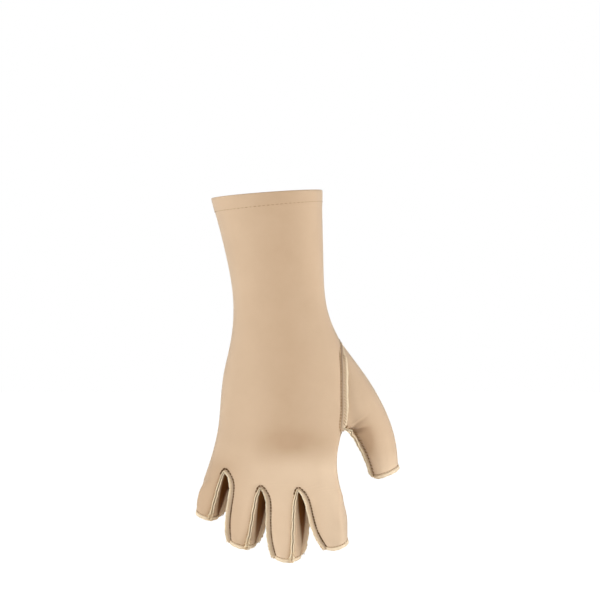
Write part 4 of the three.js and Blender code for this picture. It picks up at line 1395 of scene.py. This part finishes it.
half = reckon("MULTIPLY", ask["Stitch length"], 0.5)
bow = node("GeometryNodeCurveQuadraticBezier")
bow.inputs["Resolution"].default_value = BOW_STEPS
bow_ends = {
    "Start": ("X", reckon("MULTIPLY", half, -1.0)),
    "Middle": ("Z", reckon("MULTIPLY", ask["Bow"], 2.0)),
    "End": ("X", half),
}
for title, (axis, value) in bow_ends.items():
    place = node("ShaderNodeCombineXYZ")
    join(value, place.inputs[axis])
    join(place.outputs[0], bow.inputs[title])
ring = node("GeometryNodeCurvePrimitiveCircle")
ring.inputs["Resolution"].default_value = THREAD_SIDES
join(reckon("MULTIPLY", ask["Thread"], 0.5), ring.inputs["Radius"])
strand = node("GeometryNodeCurveToMesh")
strand.inputs["Fill Caps"].default_value = True
join(bow.outputs[0], strand.inputs["Curve"])
join(ring.outputs[0], strand.inputs["Profile Curve"])
print("faces of one stitch:", BOW_STEPS * THREAD_SIDES + 2)

# %% Stitches on the line
RANDOM_FROM, RANDOM_TO, RANDOM_RESULT = 2, 3, 1  # the number sockets of a Random Value node

line_curve = node("GeometryNodeMeshToCurve")
join(ask["Line"], line_curve.inputs[0])
steps = node("GeometryNodeResampleCurve", mode="LENGTH")
join(line_curve.outputs[0], steps.inputs["Curve"])
join(ask["Spacing"], steps.inputs["Length"])
up = node("GeometryNodeInputNamedAttribute", data_type="FLOAT_VECTOR")
up.inputs["Name"].default_value = "up"
way = node("GeometryNodeInputTangent")
stand = node("FunctionNodeAxesToRotation", primary_axis="X", secondary_axis="Z")
join(way.outputs[0], stand.inputs["Primary Axis"])
join(up.outputs["Attribute"], stand.inputs["Secondary Axis"])
wobble = node("FunctionNodeRandomValue", data_type="FLOAT")
join(reckon("MULTIPLY", ask["Jitter"], -1.0), wobble.inputs[RANDOM_FROM])
join(ask["Jitter"], wobble.inputs[RANDOM_TO])
join(ask["Seed"], wobble.inputs["Seed"])
lean = node("ShaderNodeCombineXYZ")
join(reckon("ADD", ask["Slant"], wobble.outputs[RANDOM_RESULT]), lean.inputs["Z"])
turn = node("FunctionNodeEulerToRotation")
join(lean.outputs[0], turn.inputs[0])
slant = node("FunctionNodeRotateRotation", rotation_space="LOCAL")
join(stand.outputs[0], slant.inputs["Rotation"])
join(turn.outputs[0], slant.inputs["Rotate By"])
print("a stitch is turned to its line and slanted")

# %% Stitches made real
lay = node("GeometryNodeInstanceOnPoints")
join(steps.outputs[0], lay.inputs["Points"])
join(strand.outputs[0], lay.inputs["Instance"])
join(slant.outputs[0], lay.inputs["Rotation"])
join(reckon("ADD", 1.0, wobble.outputs[RANDOM_RESULT]), lay.inputs["Scale"])
real = node("GeometryNodeRealizeInstances")
join(lay.outputs[0], real.inputs[0])
round_off = node("GeometryNodeSetShadeSmooth")
join(real.outputs[0], round_off.inputs["Geometry"])
dress = node("GeometryNodeSetMaterial")
join(round_off.outputs[0], dress.inputs["Geometry"])
join(ask["Finish"], dress.inputs["Material"])
join(dress.outputs[0], give[0])
print(stitch_tree.name, len(stitch_tree.nodes), "nodes")


# %% Sew a set of lines
def line_mesh(name, lines):
    """Lines of (places in mm, up vectors, closed) as one mesh of edges."""
    mesh = bpy.data.meshes.new(name)
    dots, links, ups = [], [], []
    for line, up, closed in lines:
        first, last = len(dots), len(dots) + len(line) - 1
        links += [(k, k + 1) for k in range(first, last)] + [(last, first)] * closed
        dots += (line * MM).tolist()
        ups += up.tolist()
    mesh.from_pydata(dots, links, [])
    layer = mesh.attributes.new("up", "FLOAT_VECTOR", "POINT")
    layer.data.foreach_set("vector", np.array(ups, np.float32).ravel())
    return mesh


def sew(name, lines, finish, seed, *sizes):
    """One mesh of stitches along lines, as a piece of its own."""
    mesh = line_mesh(name + "_line", lines)
    rows = bpy.data.objects.new(name + "_line", mesh)
    scene.collection.objects.link(rows)
    nodes = rows.modifiers.new("stitches", "NODES")
    nodes.node_group = stitch_tree
    wanted = {"Seed": seed, "Finish": finish, **dict(zip(STITCH_SIZES, sizes))}
    for item in stitch_tree.interface.items_tree:
        if item.in_out == "INPUT" and item.name in wanted:
            nodes[item.identifier] = wanted[item.name]
    sewn = bpy.data.meshes.new_from_object(rows.evaluated_get(bpy.context.evaluated_depsgraph_get()))
    sewn.name = name
    sewn.materials.clear()
    sewn.materials.append(finish)
    sewn.polygons.foreach_set("material_index", np.zeros(len(sewn.polygons), np.int32))
    bpy.data.objects.remove(rows)
    bpy.data.meshes.remove(mesh)
    piece = bpy.data.objects.new(name, sewn)
    scene.collection.objects.link(piece)
    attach(piece, "root")
    print(name, len(sewn.polygons), "faces")


print("inputs of a row of stitches:", ", ".join(STITCH_SIZES))


# %% Lines on the cloth
def onto_cloth(line, lift):
    """The line laid on the cloth, with the cloth's own normals."""
    nearest = [normal_tree.find(place)[1] for place in line]
    base, normals = fine_surface["places"][nearest], fine_surface["normals"][nearest]
    return line - normals * (((line - base) * normals).sum(1) - lift)[:, None], normals


def full_stretches(size):
    """Runs of places round a closed seam where its lips stand at their full size."""
    order = np.roll(np.arange(len(size)), -int(size.argmin()))
    runs = np.split(order, np.flatnonzero(np.diff(size[order] > 0.9)) + 1)
    return [run for run in runs if size[run[0]] > 0.9 and len(run) > 4]


print("stretches of full lips at the thumb's base:", len(full_stretches(seam_frames["seam_thumb_base"][4])))

# %% Where the seam stitches run
STITCHES = {  # thread and seed; spacing, length, thickness and bow in metres; slant and jitter in radians
    # the first row's near-black thread is painted shade of the needle holes; the brown thread of the
    # thumb's base row, the faint row and the thumb's hatch is partly painted shade as well
    "sunk_stitches": (HOLE_SHADE_THREAD, 3, 0.0022, 0.0014, 0.001, 0.0001, 0.0, 0.15),
    "thumb_base_stitches": (HEM_THREAD, 3, 0.0022, 0.0012, 0.0009, 0.0001, 0.0, 0.15),
    "faint_stitches": (HEM_THREAD, 4, 0.0022, 0.001, 0.0004, 0.0001, 0.0, 0.15),
    "thumb_teeth": (HEM_THREAD, 6, 0.0026, 0.0024, 0.0007, 0.0001, 1.35, 0.15),
    "overcast_stitches": (PALE_THREAD, 5, 0.0018, 0.0019, 0.00035, 0.00016, 1.05, 0.12),
    "thumb_hatch": (HEM_THREAD, 11, 0.0021, 0.0026, 0.00045, 0.00016, 0.8, 0.12),
    "loose_ends": (PALE_THREAD, 8, 0.0008, 0.0024, 0.0003, 0.0005, 1.2, 0.7),
    "hem_stitches": (HEM_THREAD, 7, 0.0021, 0.0011, 0.0004, 0.0001, 0.0, 0.12),
    "cuff_stitches": (HEM_THREAD, 9, 0.0032, 0.0017, 0.0003, 0.00012, 0.0, 0.12),
}
SUNK_OFFSET, BASE_OFFSET, TEETH_OFFSET = 1.5, 1.9, 1.6  # from the seam line to the needle's holes, in mm
HOLE_LIFT, TEETH_LIFT = 0.06, 0.08  # of the thread over the cloth
FLANK, TIP = (0.98, 1.4), (0.85, 2.2)  # sideways and up, where thread lies on a lip
BARE_ENDS = 5  # places at a seam's end that have no stitch

sewing = {name: [] for name in STITCHES}
for name, (line, side, lip_up, lip_side, size, closed) in seam_frames.items():
    hand_side = 1 if name.startswith("seam_palm") else -1
    offset = BASE_OFFSET if closed else SUNK_OFFSET
    holes, out = onto_cloth(line + side * hand_side * offset, HOLE_LIFT)
    whole = slice(None) if closed else slice(BARE_ENDS, -BARE_ENDS)
    if name.startswith("seam_back"):
        k = crotch_of(name, line) - 6
        sewing["sunk_stitches"].append((holes[k:-BARE_ENDS], out[k:-BARE_ENDS], False))
        sewing["faint_stitches"].append((holes[BARE_ENDS:k], out[BARE_ENDS:k], False))
    elif name != "seam_thumb_inner":
        row = "thumb_base_stitches" if closed else "sunk_stitches"
        sewing[row].append((holes[whole], out[whole], closed))
    for face in (-1, 1):
        lip = line + (lip_side * face * FLANK[0] + lip_up * FLANK[1]) * size[:, None]
        if closed:
            sewing["thumb_hatch"] += [(lip[k], lip_side[k] * face, False) for k in full_stretches(size)]
        else:
            sewing["overcast_stitches"].append((lip[whole], lip_side[whole] * face, False))
        if not name.startswith("seam_thumb"):
            tips = line + lip_side * face * TIP[0] + lip_up * TIP[1]
            sewing["loose_ends"] += [(tips[k], lip_up[k], False) for k in (slice(2, 16), slice(-16, -2))]
print("lines of seam stitches:", sum(len(lines) for lines in sewing.values()))

# %% Thumb, hem and cuff stitches, and all the sewing
HEM_BACK, HEM_LIFT = 0.6, 0.05  # from the panel's end to its hem stitches, and over the cloth
CUFF_ROW, CUFF_LIFT, CUFF_LEVEL = 9.45, 0.03, -1.6  # down from the mouth, over the cloth, and its tilt

line, side, *_ = seam_frames["seam_thumb_inner"]
teeth, teeth_out = onto_cloth(line + side * np.sign(side[:, :1]) * TEETH_OFFSET, TEETH_LIFT)
sewing["thumb_teeth"].append((teeth[2:-3], teeth_out[2:-3], False))
for line, on in hem_rings.values():
    sewing["hem_stitches"].append((*onto_cloth(line - on * HEM_BACK, HEM_LIFT), True))
sewing["cuff_stitches"].append((*sleeve_ring(CUFF_ROW, CUFF_LIFT, CUFF_LEVEL), True))
for name, lines in sewing.items():
    sew(name, lines, *STITCHES[name])

# %% [markdown]
# ## What each piece is
#
# The panels are sheets of cloth. Each was cut flat and is worn about a seventh larger than its cut,
# because a compression knit is always stretched. The area of the cut follows from the panel's own
# surface, and its flat box from the girth and length of the panel.

FLAT_BOXES = {  # width and length of the box that holds the flat cut, in metres
    "hand_panel": (0.235, 0.262),
    "thumb_panel": (0.15, 0.088),
    "fourchette_little_ring": (0.034, 0.096),
    "fourchette_ring_middle": (0.036, 0.112),
    "fourchette_middle_index": (0.036, 0.104),
}
for node, (piece, area) in panels.items():
    width, length = FLAT_BOXES[node]
